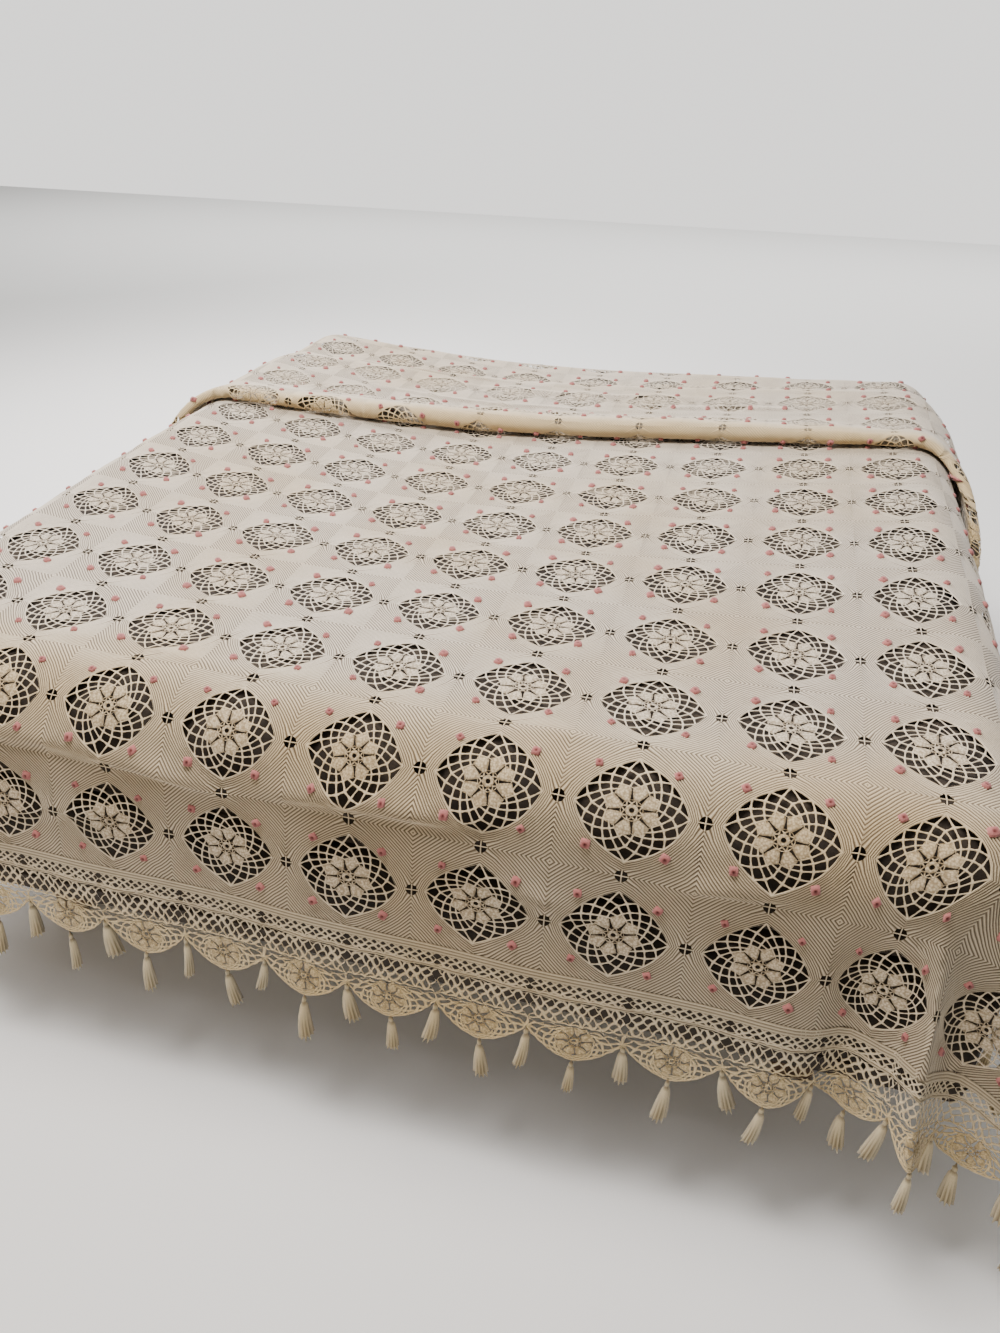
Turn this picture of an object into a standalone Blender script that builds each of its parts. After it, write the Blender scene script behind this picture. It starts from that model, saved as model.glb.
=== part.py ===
"""Crochet bedspread on a bed, in metres, +Z up.

The spread is one flat rectangle of cloth. Every piece of cloth is worked out
flat first, in cloth coordinates: "across" runs from the middle of the spread
towards the right, "along" runs from the foot hem towards the head. draped()
then lays a cloth point on the bed: over the mattress, down the three drops,
through the pleat near the head and into the folds under the foot corners.
"""

import bpy
import bmesh
import numpy as np
from math import pi

# the spread, flat
TILE = 0.200
TILES_ACROSS = 13
TILES_ALONG = 17
CLOTH_THICK = 0.0022
LACE_THICK = 0.0012
SEAM_GAP = 0.0016
CORNER_GAP = 0.0040

# the lace border and its tassels
LACE_VALLEY = 0.098
LACE_TIP = 0.146
SCALLOPS_FOOT = 18
SCALLOPS_SIDE = 24
CORD_DEPTH = 0.005
CORD_GAP = 0.0012
TASSEL_WIDE = 0.013
TASSEL_THICK = 0.008
TASSEL_LONG = 0.080

# the bed
TOP_HIGH = 0.730
HALF_FLAT = 0.855
FOOT_FLAT = 0.000
HEAD_FLAT = 1.895
EDGE_ROUND = 0.120
HEAD_FADE = 0.45
CLOTH_SEAT = 0.0037
EDGE_CLEAR = 0.010
MATTRESS_ROUND = 0.130
MATTRESS_DEEP = 0.225
MATTRESS_UNDER_ROUND = 0.040
BASE_DEEP = 0.260
BASE_INSET = 0.022
BASE_BEVEL = 0.012
LEG_SIDE = 0.070
LEG_BEVEL = 0.004
LEG_INSET = 0.240
PIECE_GAP = 0.0003

# how the spread lies: its shift and skew, and the bow of its rows towards the head
SHIFT_ACROSS = 0.015
HEM_PATH = -0.392
ROW_STRETCH = 0.984
ROW_SKEW = -0.012
ROW_BOW = 0.110
BOW_CENTRE = -0.250
BOW_STARTS, BOW_FULL = 0.2, 1.5

# the bed's soft top: a hollow in the middle and corners that rise at the head
HOLLOW_DEEP = 0.020
HOLLOW_WIDE = 0.550
HOLLOW_CENTRE = -0.250
SOFT_FULL = 0.900
HEAD_RISE = 0.025

# the lean of the drops, as the sine of their angle from upright
SIDE_LEAN = 0.120
FOOT_LEAN = 0.160

# soft waves along the drops: which drop, wave length, lean it adds, phase
WAVES = (
    ("foot", 0.90, 0.016, 0.6),
    ("foot", 0.37, 0.012, 2.1),
    ("side", 0.78, 0.030, 1.0),
    ("side", 0.41, 0.016, 0.3),
)
# the waves die out towards a corner, and differ from the left side to the right
WAVE_FADE = 0.300
WAVE_OFFSET = 0.300
# the tuck in the foot drop just before each foot corner
TUCK_INSIDE = 0.075
TUCK_WIDE = 0.055
TUCK_LEAN = 0.120
JOIN_WIDE = 0.050

# how far the foot drop is gathered towards the middle near a corner: place across, pull
GATHER = (
    (0.60, 0.000),
    (0.72, 0.012),
    (0.80, 0.034),
    (0.87, 0.044),
    (0.95, 0.034),
    (1.05, 0.015),
    (1.15, 0.000),
)
GATHER_STARTS, GATHER_FULL = 0.02, 0.20

# the folds under a foot corner, from the foot drop round to the side drop:
# how far each fold leans to the side and to the foot
CORNER_FOLDS = (
    ("foot drop", 0.000, 0.140),
    ("near ridge", 0.040, 0.270),
    ("near valley", 0.080, 0.100),
    ("corner ridge", 0.385, 0.330),
    ("inner valley", 0.225, -0.020),
    ("side ridge", 0.215, -0.070),
    ("side drop", SIDE_LEAN, 0.000),
)

# the pleat near the head: its front line, how it curls over the sides, its depth
PLEAT_FRONT = 1.245
PLEAT_SKEW = 0.090
PLEAT_CURL_RIGHT = 0.250
PLEAT_CURL_LEFT = 0.070
CURL_STARTS, CURL_FULL = 0.880, 1.100
PLEAT_DEEP = 0.460
LAYER_STEP, LAYER_STEP_DROP = 0.0080, 0.0220
ROLL_ROUND, ROLL_ROUND_DROP = 0.0220, 0.0110
ROLL_SHRINKS, ROLL_SMALL = 0.300, 1.000
ROLL_FADE = 0.160
BACK_BEFORE, BACK_PAST, BACK_REST = 0.020, 0.070, 0.001

FLAT_HALF = TILE * TILES_ACROSS / 2
FLAT_LONG = TILE * TILES_ALONG
FOLD_SAMPLES = 400

COLOURS = {
    "bedspread": ((0.62, 0.55, 0.45), 0.9),
    "lace_border": ((0.58, 0.51, 0.38), 0.9),
    "tassels": ((0.55, 0.48, 0.32), 0.9),
    "mattress": ((0.10, 0.08, 0.06), 0.85),
    "bed_base": ((0.05, 0.04, 0.035), 0.8),
    "leg": ((0.09, 0.05, 0.03), 0.5),
}


def ease(value, start, end):
    """0 before start, 1 after end, smooth between them."""
    part = np.clip((value - start) / (end - start), 0.0, 1.0)
    return part * part * (3.0 - 2.0 * part)


def bed_height(x, y):
    """How far the bed's soft top lies above or below its nominal height."""
    hollow = HOLLOW_DEEP * np.exp(-(((x - HOLLOW_CENTRE) / HOLLOW_WIDE) ** 2))
    rise = HEAD_RISE * np.clip(np.abs(x) / HALF_FLAT, 0.0, 1.0) ** 2
    return (rise - hollow) * ease(y, 0.0, SOFT_FULL)


def laid(across, along):
    """Paths across and along the bed of a cloth point, before the pleat."""
    bowed = ease(along, BOW_STARTS, BOW_FULL)
    bow = ROW_BOW * (np.clip(across, -1.0, 1.0) - BOW_CENTRE) ** 2
    path = HEM_PATH + ROW_STRETCH * along + ROW_SKEW * across
    return across + SHIFT_ACROSS, path + bow * bowed


def layer_step(side):
    """Distance between the pleat's layers, which hang more loosely on the drops."""
    return LAYER_STEP + (LAYER_STEP_DROP - LAYER_STEP) * ease(np.abs(side), CURL_STARTS, CURL_FULL)


def roll_round(side):
    """Radius of the pleat's front roll, smaller towards the drops."""
    return ROLL_ROUND + (ROLL_ROUND_DROP - ROLL_ROUND) * ease(np.abs(side), ROLL_SHRINKS, ROLL_SMALL)


def back_line(side):
    """Path along the bed of the pleat's back fold."""
    curl = np.where(side < 0, PLEAT_CURL_LEFT, PLEAT_CURL_RIGHT)
    curl = curl * ease(np.abs(side), CURL_STARTS, CURL_FULL)
    front = PLEAT_FRONT + PLEAT_SKEW * np.clip(side, -1.0, 1.0) - curl
    return front + PLEAT_DEEP - (pi / 2 - 1) * roll_round(side)


def pleated(side, path):
    """Place along the bed and height over it of a point of the pleated cloth."""
    back = back_line(side)
    roll = roll_round(side)
    step = layer_step(side)
    back_half = pi / 2 * step / 2
    roll_half = pi / 2 * roll
    past_back = path - back
    past_front = past_back - PLEAT_DEEP

    turn_back = np.clip(past_back / (step / 2), -pi / 2, pi / 2)
    turn_front = np.clip(past_front / roll, -pi / 2, pi / 2)
    middle = 2 * back - path
    upper = path - 2 * PLEAT_DEEP
    place = np.where(past_back < -back_half, path, middle)
    place = np.where(np.abs(past_back) <= back_half, back - back_half + step / 2 * np.cos(turn_back), place)
    place = np.where(past_front > roll_half, upper, place)
    crest = back - PLEAT_DEEP + roll_half
    place = np.where(np.abs(past_front) <= roll_half, crest - roll * np.cos(turn_front), place)

    low = step / 2 * (1 + np.sin(turn_back))
    high = low + roll * (1 + np.sin(turn_front))
    behind = ease(upper, crest, crest + ROLL_FADE)
    beyond = ease(upper, back - BACK_BEFORE, back + BACK_PAST)
    rest = 2 * step * (1 - beyond) + BACK_REST * beyond
    lift = np.where(past_front > roll_half, high + (rest - high) * behind, high)
    return place, lift


def fold_table():
    """Lean of the corner folds against the angle round the corner, evenly spread."""
    knots = np.array([row[1:] for row in CORNER_FOLDS])
    ends = np.vstack([2 * knots[0] - knots[1], knots, 2 * knots[-1] - knots[-2]])
    curve = []
    for i in range(1, len(ends) - 2):
        p0, p1, p2, p3 = ends[i - 1 : i + 3]
        for f in np.linspace(0.0, 1.0, 40, endpoint=False):
            bend = 2 * p0 - 5 * p1 + 4 * p2 - p3
            last = 3 * p1 - p0 - 3 * p2 + p3
            curve.append(0.5 * (2 * p1 + (p2 - p0) * f + bend * f * f + last * f**3))
    curve = np.vstack([curve, knots[-1]])
    run = np.concatenate([[0.0], np.cumsum(np.linalg.norm(np.diff(curve, axis=0), axis=1))])
    angles = np.linspace(0.0, pi / 2, FOLD_SAMPLES)
    spread = run[-1] * angles / angles[-1]
    return angles, np.interp(spread, run, curve[:, 0]), np.interp(spread, run, curve[:, 1])


FOLD_ANGLES, FOLD_SIDE, FOLD_FOOT = fold_table()


def wave(drop, place):
    """Lean that the soft waves add at a place along a drop."""
    lean = 0.0 * place
    for name, length, size, phase in WAVES:
        if name == drop:
            lean = lean + size * np.sin(2 * pi * place / length + phase)
    return lean


def gathered(side, out_foot):
    """How far the cloth below the foot edge is pulled towards the middle."""
    places, pulls = np.array(GATHER).T
    return np.interp(np.abs(side), places, pulls) * ease(out_foot, GATHER_STARTS, GATHER_FULL)


def draped(across, along, raised=0.0):
    """World position of a flat cloth point, raised a little off the cloth's middle."""
    side, path = laid(np.asarray(across, float), np.asarray(along, float))
    place, lift = pleated(side, path)
    lift = lift + raised
    hand = np.where(side < 0, -1.0, 1.0)
    past_side = np.abs(side) - HALF_FLAT
    past_foot = FOOT_FLAT - place
    out_side = np.maximum(past_side, 0.0)
    out_foot = np.maximum(past_foot, 0.0)
    far = np.hypot(out_side, out_foot)
    angle = np.where(far > 0, np.arctan2(out_side, np.maximum(out_foot, 1e-9)), 0.0)
    angle = np.where((out_foot <= 0) & (out_side > 0), pi / 2, angle)

    # lean of the cloth here: folds in the corners, waves and the tuck on the drops
    lean_side = np.interp(angle, FOLD_ANGLES, FOLD_SIDE)
    lean_foot = np.interp(angle, FOLD_ANGLES, FOLD_FOOT)
    on_foot = ease(-past_side, 0.0, WAVE_FADE)
    tuck = TUCK_LEAN * np.exp(-(((past_side + TUCK_INSIDE) / TUCK_WIDE) ** 2))
    plain = FOOT_LEAN + wave("foot", side) * on_foot - tuck
    meet = CORNER_FOLDS[0][2] - FOOT_LEAN + TUCK_LEAN * np.exp(-((TUCK_INSIDE / TUCK_WIDE) ** 2))
    join = plain + meet * (1 - ease(-past_side, 0.0, JOIN_WIDE))
    foot_only = (past_side <= 0) & (out_foot > 0)
    lean_foot = np.where(foot_only, join, lean_foot)
    lean_side = np.where(foot_only, 0.0, lean_side)
    side_only = (out_foot <= 0) & (out_side > 0)
    settled = ease(place, 0.0, WAVE_FADE)
    lean_side = np.where(side_only, SIDE_LEAN + wave("side", place + WAVE_OFFSET * hand) * settled, lean_side)
    lean_foot = np.where(side_only, 0.0, lean_foot)

    # each line runs level at first, bends over the edge and then hangs straight
    level = np.stack([np.sin(angle), -np.cos(angle), 0 * angle], -1)
    drop = np.sqrt(1 - lean_side**2 - lean_foot**2)
    hang = np.stack([lean_side, -lean_foot, -drop], -1)
    cosine = np.sum(level * hang, -1)
    bend = np.arccos(np.clip(cosine, -1, 1))
    down = (hang - level * cosine[..., None]) / np.sin(bend)[..., None]
    turned = np.minimum(far / EDGE_ROUND, bend)
    straight = np.maximum(far - EDGE_ROUND * bend, 0.0)
    arc = EDGE_ROUND * (np.sin(turned)[..., None] * level + (1 - np.cos(turned))[..., None] * down)
    outward = np.sin(turned)[..., None] * level - np.cos(turned)[..., None] * down
    outward = np.where((far > 0)[..., None], outward, np.array([0.0, 0.0, 1.0]))
    arc = np.where((far > 0)[..., None], arc + straight[..., None] * hang, 0.0)

    # the head edge: the last of the cloth bends down over it
    past_head = np.maximum(place - HEAD_FLAT, 0.0)
    nod = np.minimum(past_head / EDGE_ROUND, pi / 2)
    over = EDGE_ROUND * np.sin(nod)
    sunk = EDGE_ROUND * (1 - np.cos(nod)) + np.maximum(past_head - EDGE_ROUND * pi / 2, 0.0)
    on_top = 1 - ease(past_side, 0.0, HEAD_FADE)
    y = np.maximum(place, FOOT_FLAT) + (over - past_head) * on_top
    x = np.minimum(np.abs(side), HALF_FLAT)
    offset = arc + outward * lift[..., None]
    x_place = hand * (x + offset[..., 0] - gathered(side, out_foot))
    spot = np.stack([x_place, y + offset[..., 1], offset[..., 2]], -1)
    soft = bed_height(hand * x, np.clip(place, FOOT_FLAT, HEAD_FLAT))
    spot[..., 2] += TOP_HIGH + soft - sunk * on_top
    return spot


def material(name):
    colour, rough = COLOURS[name]
    made = bpy.data.materials.new(name)
    made.use_nodes = True
    shader = made.node_tree.nodes["Principled BSDF"]
    shader.inputs["Base Color"].default_value = (*colour, 1.0)
    shader.inputs["Roughness"].default_value = rough
    return made


def finished(name, bm, look, frame):
    bmesh.ops.recalc_face_normals(bm, faces=bm.faces)
    mesh = bpy.data.meshes.new(name)
    bm.to_mesh(mesh)
    bm.free()
    mesh.shade_smooth()
    mesh.set_sharp_from_angle(angle=0.7)
    mesh.materials.append(look)
    made = bpy.data.objects.new(name, mesh)
    bpy.context.collection.objects.link(made)
    made.parent = frame
    return made


def facet_normals(middle):
    """Normal at each point of a grid: the mean of its facets', so that no fold turns inside out."""
    wide = middle[:, 1:] - middle[:, :-1]
    long = middle[1:] - middle[:-1]
    facet = np.cross(wide[:-1] + wide[1:], long[:, :-1] + long[:, 1:])
    facet /= np.linalg.norm(facet, axis=-1)[..., None]
    total = np.zeros_like(middle)
    for rows in (slice(None, -1), slice(1, None)):
        for columns in (slice(None, -1), slice(1, None)):
            total[rows, columns] += facet
    return total / np.linalg.norm(total, axis=-1)[..., None]


def split(bm, first, second, third, fourth):
    """A twisted panel as two triangles that meet on the line from its first point to its third."""
    bm.faces.new((first, second, third))
    bm.faces.new((first, third, fourth))


def cloth_solid(across, along, thick):
    """A closed sheet over a grid of cloth points, with its rim."""
    middle = draped(across, along)
    normal = facet_normals(middle)
    bm = bmesh.new()
    rows, columns = across.shape
    faces = []
    for offset in (thick / 2, -thick / 2):
        spots = middle + normal * offset
        faces.append([[bm.verts.new(spots[i, j]) for j in range(columns)] for i in range(rows)])
    upper, lower = faces
    for i in range(rows - 1):
        for j in range(columns - 1):
            bm.faces.new((upper[i][j], upper[i][j + 1], upper[i + 1][j + 1], upper[i + 1][j]))
            bm.faces.new((lower[i][j], lower[i + 1][j], lower[i + 1][j + 1], lower[i][j + 1]))
    rim = [(0, j) for j in range(columns)] + [(i, columns - 1) for i in range(1, rows)]
    rim += [(rows - 1, j) for j in range(columns - 2, -1, -1)] + [(i, 0) for i in range(rows - 2, 0, -1)]
    for (a, b), (c, d) in zip(rim, rim[1:] + rim[:1]):
        bm.faces.new((upper[a][b], lower[a][b], lower[c][d], upper[c][d]))
    return bm


def spread_columns():
    """Cloth places across: close together over the side edges and in the corner folds."""
    drop = FLAT_HALF - HALF_FLAT
    right = [HALF_FLAT + drop * part for part in (0.0, 0.12, 0.24, 0.36, 0.48, 0.61, 0.74, 0.87, 1.0)]
    inner = [0.13, 0.36, 0.58, 0.72, 0.79]
    half = inner + right
    return np.array([-x for x in reversed(half)] + half)


def spread_rows(across):
    """Cloth places along at one place across: close over the foot edge and in the pleat."""
    fine = np.linspace(0.0, FLAT_LONG, 1600)
    side, path = laid(np.full_like(fine, across), fine)
    back = float(back_line(side[0]))
    front = back + PLEAT_DEEP
    roll = float(roll_round(side[0])) * pi / 2
    fold = float(layer_step(side[0])) / 2 * pi / 2
    hem, foot = float(path[0]), FOOT_FLAT
    places = list(hem + (foot + 0.005 - hem) * np.linspace(0.0, 1.0, 10))
    places += list(foot + (back - 0.02 - foot) * np.array([0.06, 0.17, 0.32, 0.5, 0.7, 0.88, 1.0]))
    places += [back + fold * part for part in (-1.0, 0.0, 1.0)]
    places += [back + 0.35 * PLEAT_DEEP, front - roll - 0.09, front - roll - 0.02]
    places += [front + roll * part for part in (-1.0, -0.5, 0.0, 0.5, 1.0)]
    places += [front + roll + step for step in (0.04, 0.09, 0.16)]
    places += [back + 2 * PLEAT_DEEP + step for step in (-0.02, 0.03, 0.08)]
    bend, last = HEAD_FLAT + 2 * PLEAT_DEEP, float(path[-1])
    places += [bend + (last - bend) * part for part in (0.0, 0.25, 0.5, 0.75, 1.0)]
    return np.interp(places, path, fine)


def spread_grid():
    """Cloth points of the whole spread, one row of the grid for each place along."""
    columns = spread_columns()
    along = np.array([spread_rows(x) for x in columns]).T
    across = np.tile(columns, (along.shape[0], 1))
    return across, along


def bedspread(look, frame):
    return finished("bedspread", cloth_solid(*spread_grid(), CLOTH_THICK), look, frame)


def run_stations(start, onward, outward, count, length, knots):
    """Stations of the lace along one hem, in pairs for each tassel, with the hem's own knots between.

    A station is a hem point, the way outward in the cloth, the lace's depth and
    whether a tassel hangs between it and the next one.
    """
    half = length / count / 2
    spans = []
    for k in range(2 * count + 1):
        middle = np.clip(k * half, TASSEL_WIDE / 2, length - TASSEL_WIDE / 2)
        depth = LACE_TIP if k % 2 else LACE_VALLEY
        spans.append((middle - TASSEL_WIDE / 2, middle + TASSEL_WIDE / 2, depth))
    edge = []
    for left, right, depth in spans:
        edge += [(left, depth, True), (right, depth, False)]
    places = [item[0] for item in edge]
    depths = [item[1] for item in edge]
    for knot in knots:
        inside = any(left - 0.001 < knot < right + 0.001 for left, right, _ in spans)
        if 0 < knot < length and not inside:
            edge.append((knot, float(np.interp(knot, places, depths)), False))
    return [(start + onward * place, outward, depth, hangs) for place, depth, hangs in sorted(edge)]


def fan_stations(corner, first_angle):
    """The lace turns a foot corner as one scallop that opens like a fan."""
    spread = TASSEL_WIDE / 2 / LACE_TIP
    angles = (first_angle + pi / 4 - spread, first_angle + pi / 4 + spread)
    return [(corner, np.array([np.cos(a), np.sin(a)]), LACE_TIP, i == 0) for i, a in enumerate(angles)]


def border_stations():
    """All stations of the lace, from the left head corner round the foot to the right one."""
    side, long = FLAT_HALF, FLAT_LONG
    across, along = spread_grid()
    foot = across[0] + side
    down, left, right, up = (np.array(way, float) for way in ((0, -1), (-1, 0), (1, 0), (0, 1)))
    stations = run_stations(np.array([-side, long]), down, left, SCALLOPS_SIDE, long, long - along[:, 0])
    stations += fan_stations(np.array([-side, 0.0]), pi)
    stations += run_stations(np.array([-side, 0.0]), right, down, SCALLOPS_FOOT, 2 * side, foot)
    stations += fan_stations(np.array([side, 0.0]), 1.5 * pi)
    stations += run_stations(np.array([side, 0.0]), up, right, SCALLOPS_SIDE, long, along[:, -1])
    return stations


def hem_knots(point, spread):
    """The spread's own grid points before and after a point of its hem, with their normals."""
    across, along, normals = spread
    if abs(point[1]) < 1e-9 and abs(point[0]) < FLAT_HALF - 1e-9:
        places, value, way = across[0], point[0], normals[0]
        ends = [np.array([place, 0.0]) for place in places]
    else:
        column = 0 if point[0] < 0 else -1
        places, value, way = along[:, column], point[1], normals[:, column]
        ends = [np.array([across[0, column], place]) for place in places]
    i = int(np.clip(np.searchsorted(places, value) - 1, 0, len(places) - 2))
    part = float(np.clip((value - places[i]) / (places[i + 1] - places[i]), 0.0, 1.0))
    return (ends[i], way[i]), (ends[i + 1], way[i + 1]), part


def two_sides(spot, normal, thick):
    return spot + normal * thick / 2, spot - normal * thick / 2


def seam_gap(station):
    """The gap at a seam, wider at the foot corners, where the cloth folds sharply."""
    at_corner = abs(station[0][1]) < 1e-9 and abs(station[0][0]) > FLAT_HALF - 1e-9
    return CORNER_GAP if at_corner else SEAM_GAP


def top_edge(station, spread):
    """Where the lace starts: the spread's faceted hem, moved outward by the seam's gap."""
    point, outward, _, _ = station
    gap = seam_gap(station)
    first, last, part = hem_knots(point, spread)
    sides = []
    for end, normal in (first, last):
        spot = draped(*(end + outward * gap))
        sides.append(two_sides(spot, normal, LACE_THICK))
    return [sides[0][i] + (sides[1][i] - sides[0][i]) * part for i in (0, 1)]


def below(station, reach):
    """The middle of the cloth at a station, past the lace's edge by a little reach."""
    point, outward, depth, _ = station
    return draped(*(point + outward * (depth + reach)))


def lace_edges(stations):
    """The lace's upper edge on both sides of the cloth, and the normals along its lower edge."""
    across, along = spread_grid()
    spread = across, along, facet_normals(draped(across, along))
    tops = [top_edge(station, spread) for station in stations]
    middles = [(front + back) / 2 for front, back in tops]
    lows = [below(station, 0.0) for station in stations]
    return tops, facet_normals(np.array([lows, middles]))[0]


def strip_solid(bm, rings, open_below=()):
    """Joins rings of four points into a closed strip: top front, top back, low back, low front."""
    rings = [[bm.verts.new(spot) for spot in ring] for ring in rings]
    for i, (a, b) in enumerate(zip(rings, rings[1:])):
        # both skins are split on the panel's shorter diagonal, so they stay parallel where it twists
        if (a[0].co - b[3].co).length < (a[3].co - b[0].co).length:
            split(bm, a[0], b[0], b[3], a[3])
            split(bm, a[1], a[2], b[2], b[1])
        else:
            split(bm, b[0], b[3], a[3], a[0])
            split(bm, b[1], a[1], a[2], b[2])
        split(bm, a[0], a[1], b[1], b[0])
        if i not in open_below:
            split(bm, a[2], a[3], b[3], b[2])
    bm.faces.new(rings[0])
    bm.faces.new(rings[-1][::-1])
    return rings


def lace_border(look, frame):
    stations = border_stations()
    tops, normals = lace_edges(stations)
    rings = []
    for station, (front, back), normal in zip(stations, tops, normals):
        low_front, low_back = two_sides(below(station, 0.0), normal, LACE_THICK)
        rings.append((front, back, low_back, low_front))
    bm = bmesh.new()
    strip_solid(bm, rings)
    return finished("lace_border", bm, look, frame)


def tassels(look, frame):
    """One comb: a cord along the lace's scalloped edge with a tassel at every tip and valley."""
    stations = border_stations()
    _, normals = lace_edges(stations)
    rings = []
    for station, normal in zip(stations, normals):
        gap = seam_gap(station) + CORD_GAP
        front, back = two_sides(below(station, gap), normal, LACE_THICK)
        low_front, low_back = two_sides(below(station, gap + CORD_DEPTH), normal, LACE_THICK)
        rings.append((front, back, low_back, low_front))
    teeth = [i for i, station in enumerate(stations) if station[3]]
    bm = bmesh.new()
    rings = strip_solid(bm, rings, open_below=teeth)
    for i in teeth:
        a, b = rings[i], rings[i + 1]
        neck = [a[3], b[3], b[2], a[2]]
        centre = sum((vert.co for vert in neck), start=neck[0].co * 0) / 4
        outward = (a[3].co + b[3].co - a[2].co - b[2].co) * 0.5
        outward.z = 0
        outward.normalize()
        onward = b[2].co - a[2].co
        onward.z = 0
        onward.normalize()
        low = []
        for u, v in ((-1, 1), (1, 1), (1, -1), (-1, -1)):
            spot = centre + onward * (u * TASSEL_WIDE / 2) + outward * (v * TASSEL_THICK / 2)
            spot.z = centre.z - TASSEL_LONG
            low.append(bm.verts.new(spot))
        for k in range(4):
            n = (k + 1) % 4
            bm.faces.new((neck[k], neck[n], low[n], low[k]))
        bm.faces.new(low)
    return finished("tassels", bm, look, frame)


def rounded_places(low, high, rounding, inner):
    """Places from one edge of a round-edged block to the other, closer where it bends."""
    bent = [rounding * (1 - np.tan(angle)) for angle in (pi / 4, pi / 6, pi / 12)]
    middle = list(np.linspace(low + rounding, high - rounding, inner))
    return [low + step for step in bent] + middle + [high - step for step in reversed(bent)]


def mattress(look, frame):
    """A round-edged block whose top follows the bed's soft top, just below the spread."""
    rounding = MATTRESS_ROUND
    wall = EDGE_ROUND - EDGE_CLEAR
    top = TOP_HIGH - CLOTH_SEAT
    low = top - MATTRESS_DEEP
    reach_up, reach_down = rounding, MATTRESS_UNDER_ROUND
    first = np.array([-HALF_FLAT - wall, FOOT_FLAT - wall, low])
    final = np.array([HALF_FLAT + wall, HEAD_FLAT + wall, top])
    start = first + np.array([rounding, rounding, reach_down])
    end = final - np.array([rounding, rounding, reach_up])
    grid = (
        rounded_places(first[0], final[0], rounding, 9),
        rounded_places(first[1], final[1], rounding, 9),
        [low, low + reach_down] + [top - reach_up * (1 - np.tan(b)) for b in (0.0, pi / 12, pi / 6, pi / 4)],
    )
    bm = bmesh.new()
    made = {}

    def vert(*index):
        """A point of the block's grid, pulled in where the edges are round."""
        if index not in made:
            spot = np.array([grid[axis][index[axis]] for axis in range(3)])
            inner = np.clip(spot, start, end)
            reach = np.array([rounding, rounding, reach_up if spot[2] > inner[2] else reach_down])
            out = (spot - inner) / reach
            spot = inner + reach * out / np.linalg.norm(out)
            if spot[2] >= end[2]:
                spot[2] += float(bed_height(inner[0], inner[1]))
            made[index] = bm.verts.new(spot)
        return made[index]

    last = [len(places) - 1 for places in grid]
    for fixed in range(3):
        u, v = [axis for axis in range(3) if axis != fixed]
        for wall in (0, last[fixed]):
            for i in range(last[u]):
                for j in range(last[v]):
                    corners = []
                    for du, dv in ((0, 0), (1, 0), (1, 1), (0, 1)):
                        index = [0, 0, 0]
                        index[fixed], index[u], index[v] = wall, i + du, j + dv
                        corners.append(vert(*index))
                    bm.faces.new(corners)
    return finished("mattress", bm, look, frame)


def box(name, low, high, bevel, look, frame):
    """A plain block with softened edges."""
    bm = bmesh.new()
    bmesh.ops.create_cube(bm, size=1.0)
    size = [b - a for a, b in zip(low, high)]
    centre = [(a + b) / 2 for a, b in zip(low, high)]
    bmesh.ops.scale(bm, vec=size, verts=bm.verts)
    bmesh.ops.translate(bm, vec=centre, verts=bm.verts)
    bmesh.ops.bevel(bm, geom=bm.edges[:], offset=bevel, affect="EDGES", segments=1, profile=0.5)
    return finished(name, bm, look, frame)


def bed_base(look, frame):
    wall = EDGE_ROUND - EDGE_CLEAR - BASE_INSET
    side = HALF_FLAT + wall
    foot, head = FOOT_FLAT - wall, HEAD_FLAT + wall
    top = TOP_HIGH - CLOTH_SEAT - MATTRESS_DEEP - PIECE_GAP
    return box("bed_base", (-side, foot, top - BASE_DEEP), (side, head, top), BASE_BEVEL, look, frame)


def legs(look, frame):
    """Four square legs a little way in from the corners of the base."""
    top = TOP_HIGH - CLOTH_SEAT - MATTRESS_DEEP - BASE_DEEP - 2 * PIECE_GAP
    half = LEG_SIDE / 2
    side = HALF_FLAT + EDGE_ROUND - LEG_INSET
    ends = (("foot", FOOT_FLAT - EDGE_ROUND + LEG_INSET), ("head", HEAD_FLAT + EDGE_ROUND - LEG_INSET))
    for end, y in ends:
        for hand, x in (("left", -side), ("right", side)):
            low, high = (x - half, y - half, 0.0), (x + half, y + half, top)
            box(f"leg_{end}_{hand}", low, high, LEG_BEVEL, look, frame)


def main():
    for old in list(bpy.data.objects):
        bpy.data.objects.remove(old, do_unlink=True)
    looks = {name: material(name) for name in COLOURS}
    frame = bpy.data.objects.new("bed_frame", None)
    bpy.context.collection.objects.link(frame)
    mattress(looks["mattress"], frame)
    bed_base(looks["bed_base"], frame)
    legs(looks["leg"], frame)
    bedspread(looks["bedspread"], frame)
    lace_border(looks["lace_border"], frame)
    tassels(looks["tassels"], frame)

    # the origin is on the floor under the middle of the whole object
    spots = [vert.co for made in frame.children for vert in made.data.vertices]
    middle = [(min(s[axis] for s in spots) + max(s[axis] for s in spots)) / 2 for axis in (0, 1)]
    frame.location = (-middle[0], -middle[1], 0.0)


main()
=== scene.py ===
"""Looks of the crochet bedspread on a bed: openwork cloth, lace border, tassels and bed."""

from math import cos, pi, radians, sin

import bmesh
import bpy
import numpy as np
from mathutils import Matrix, Vector


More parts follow.
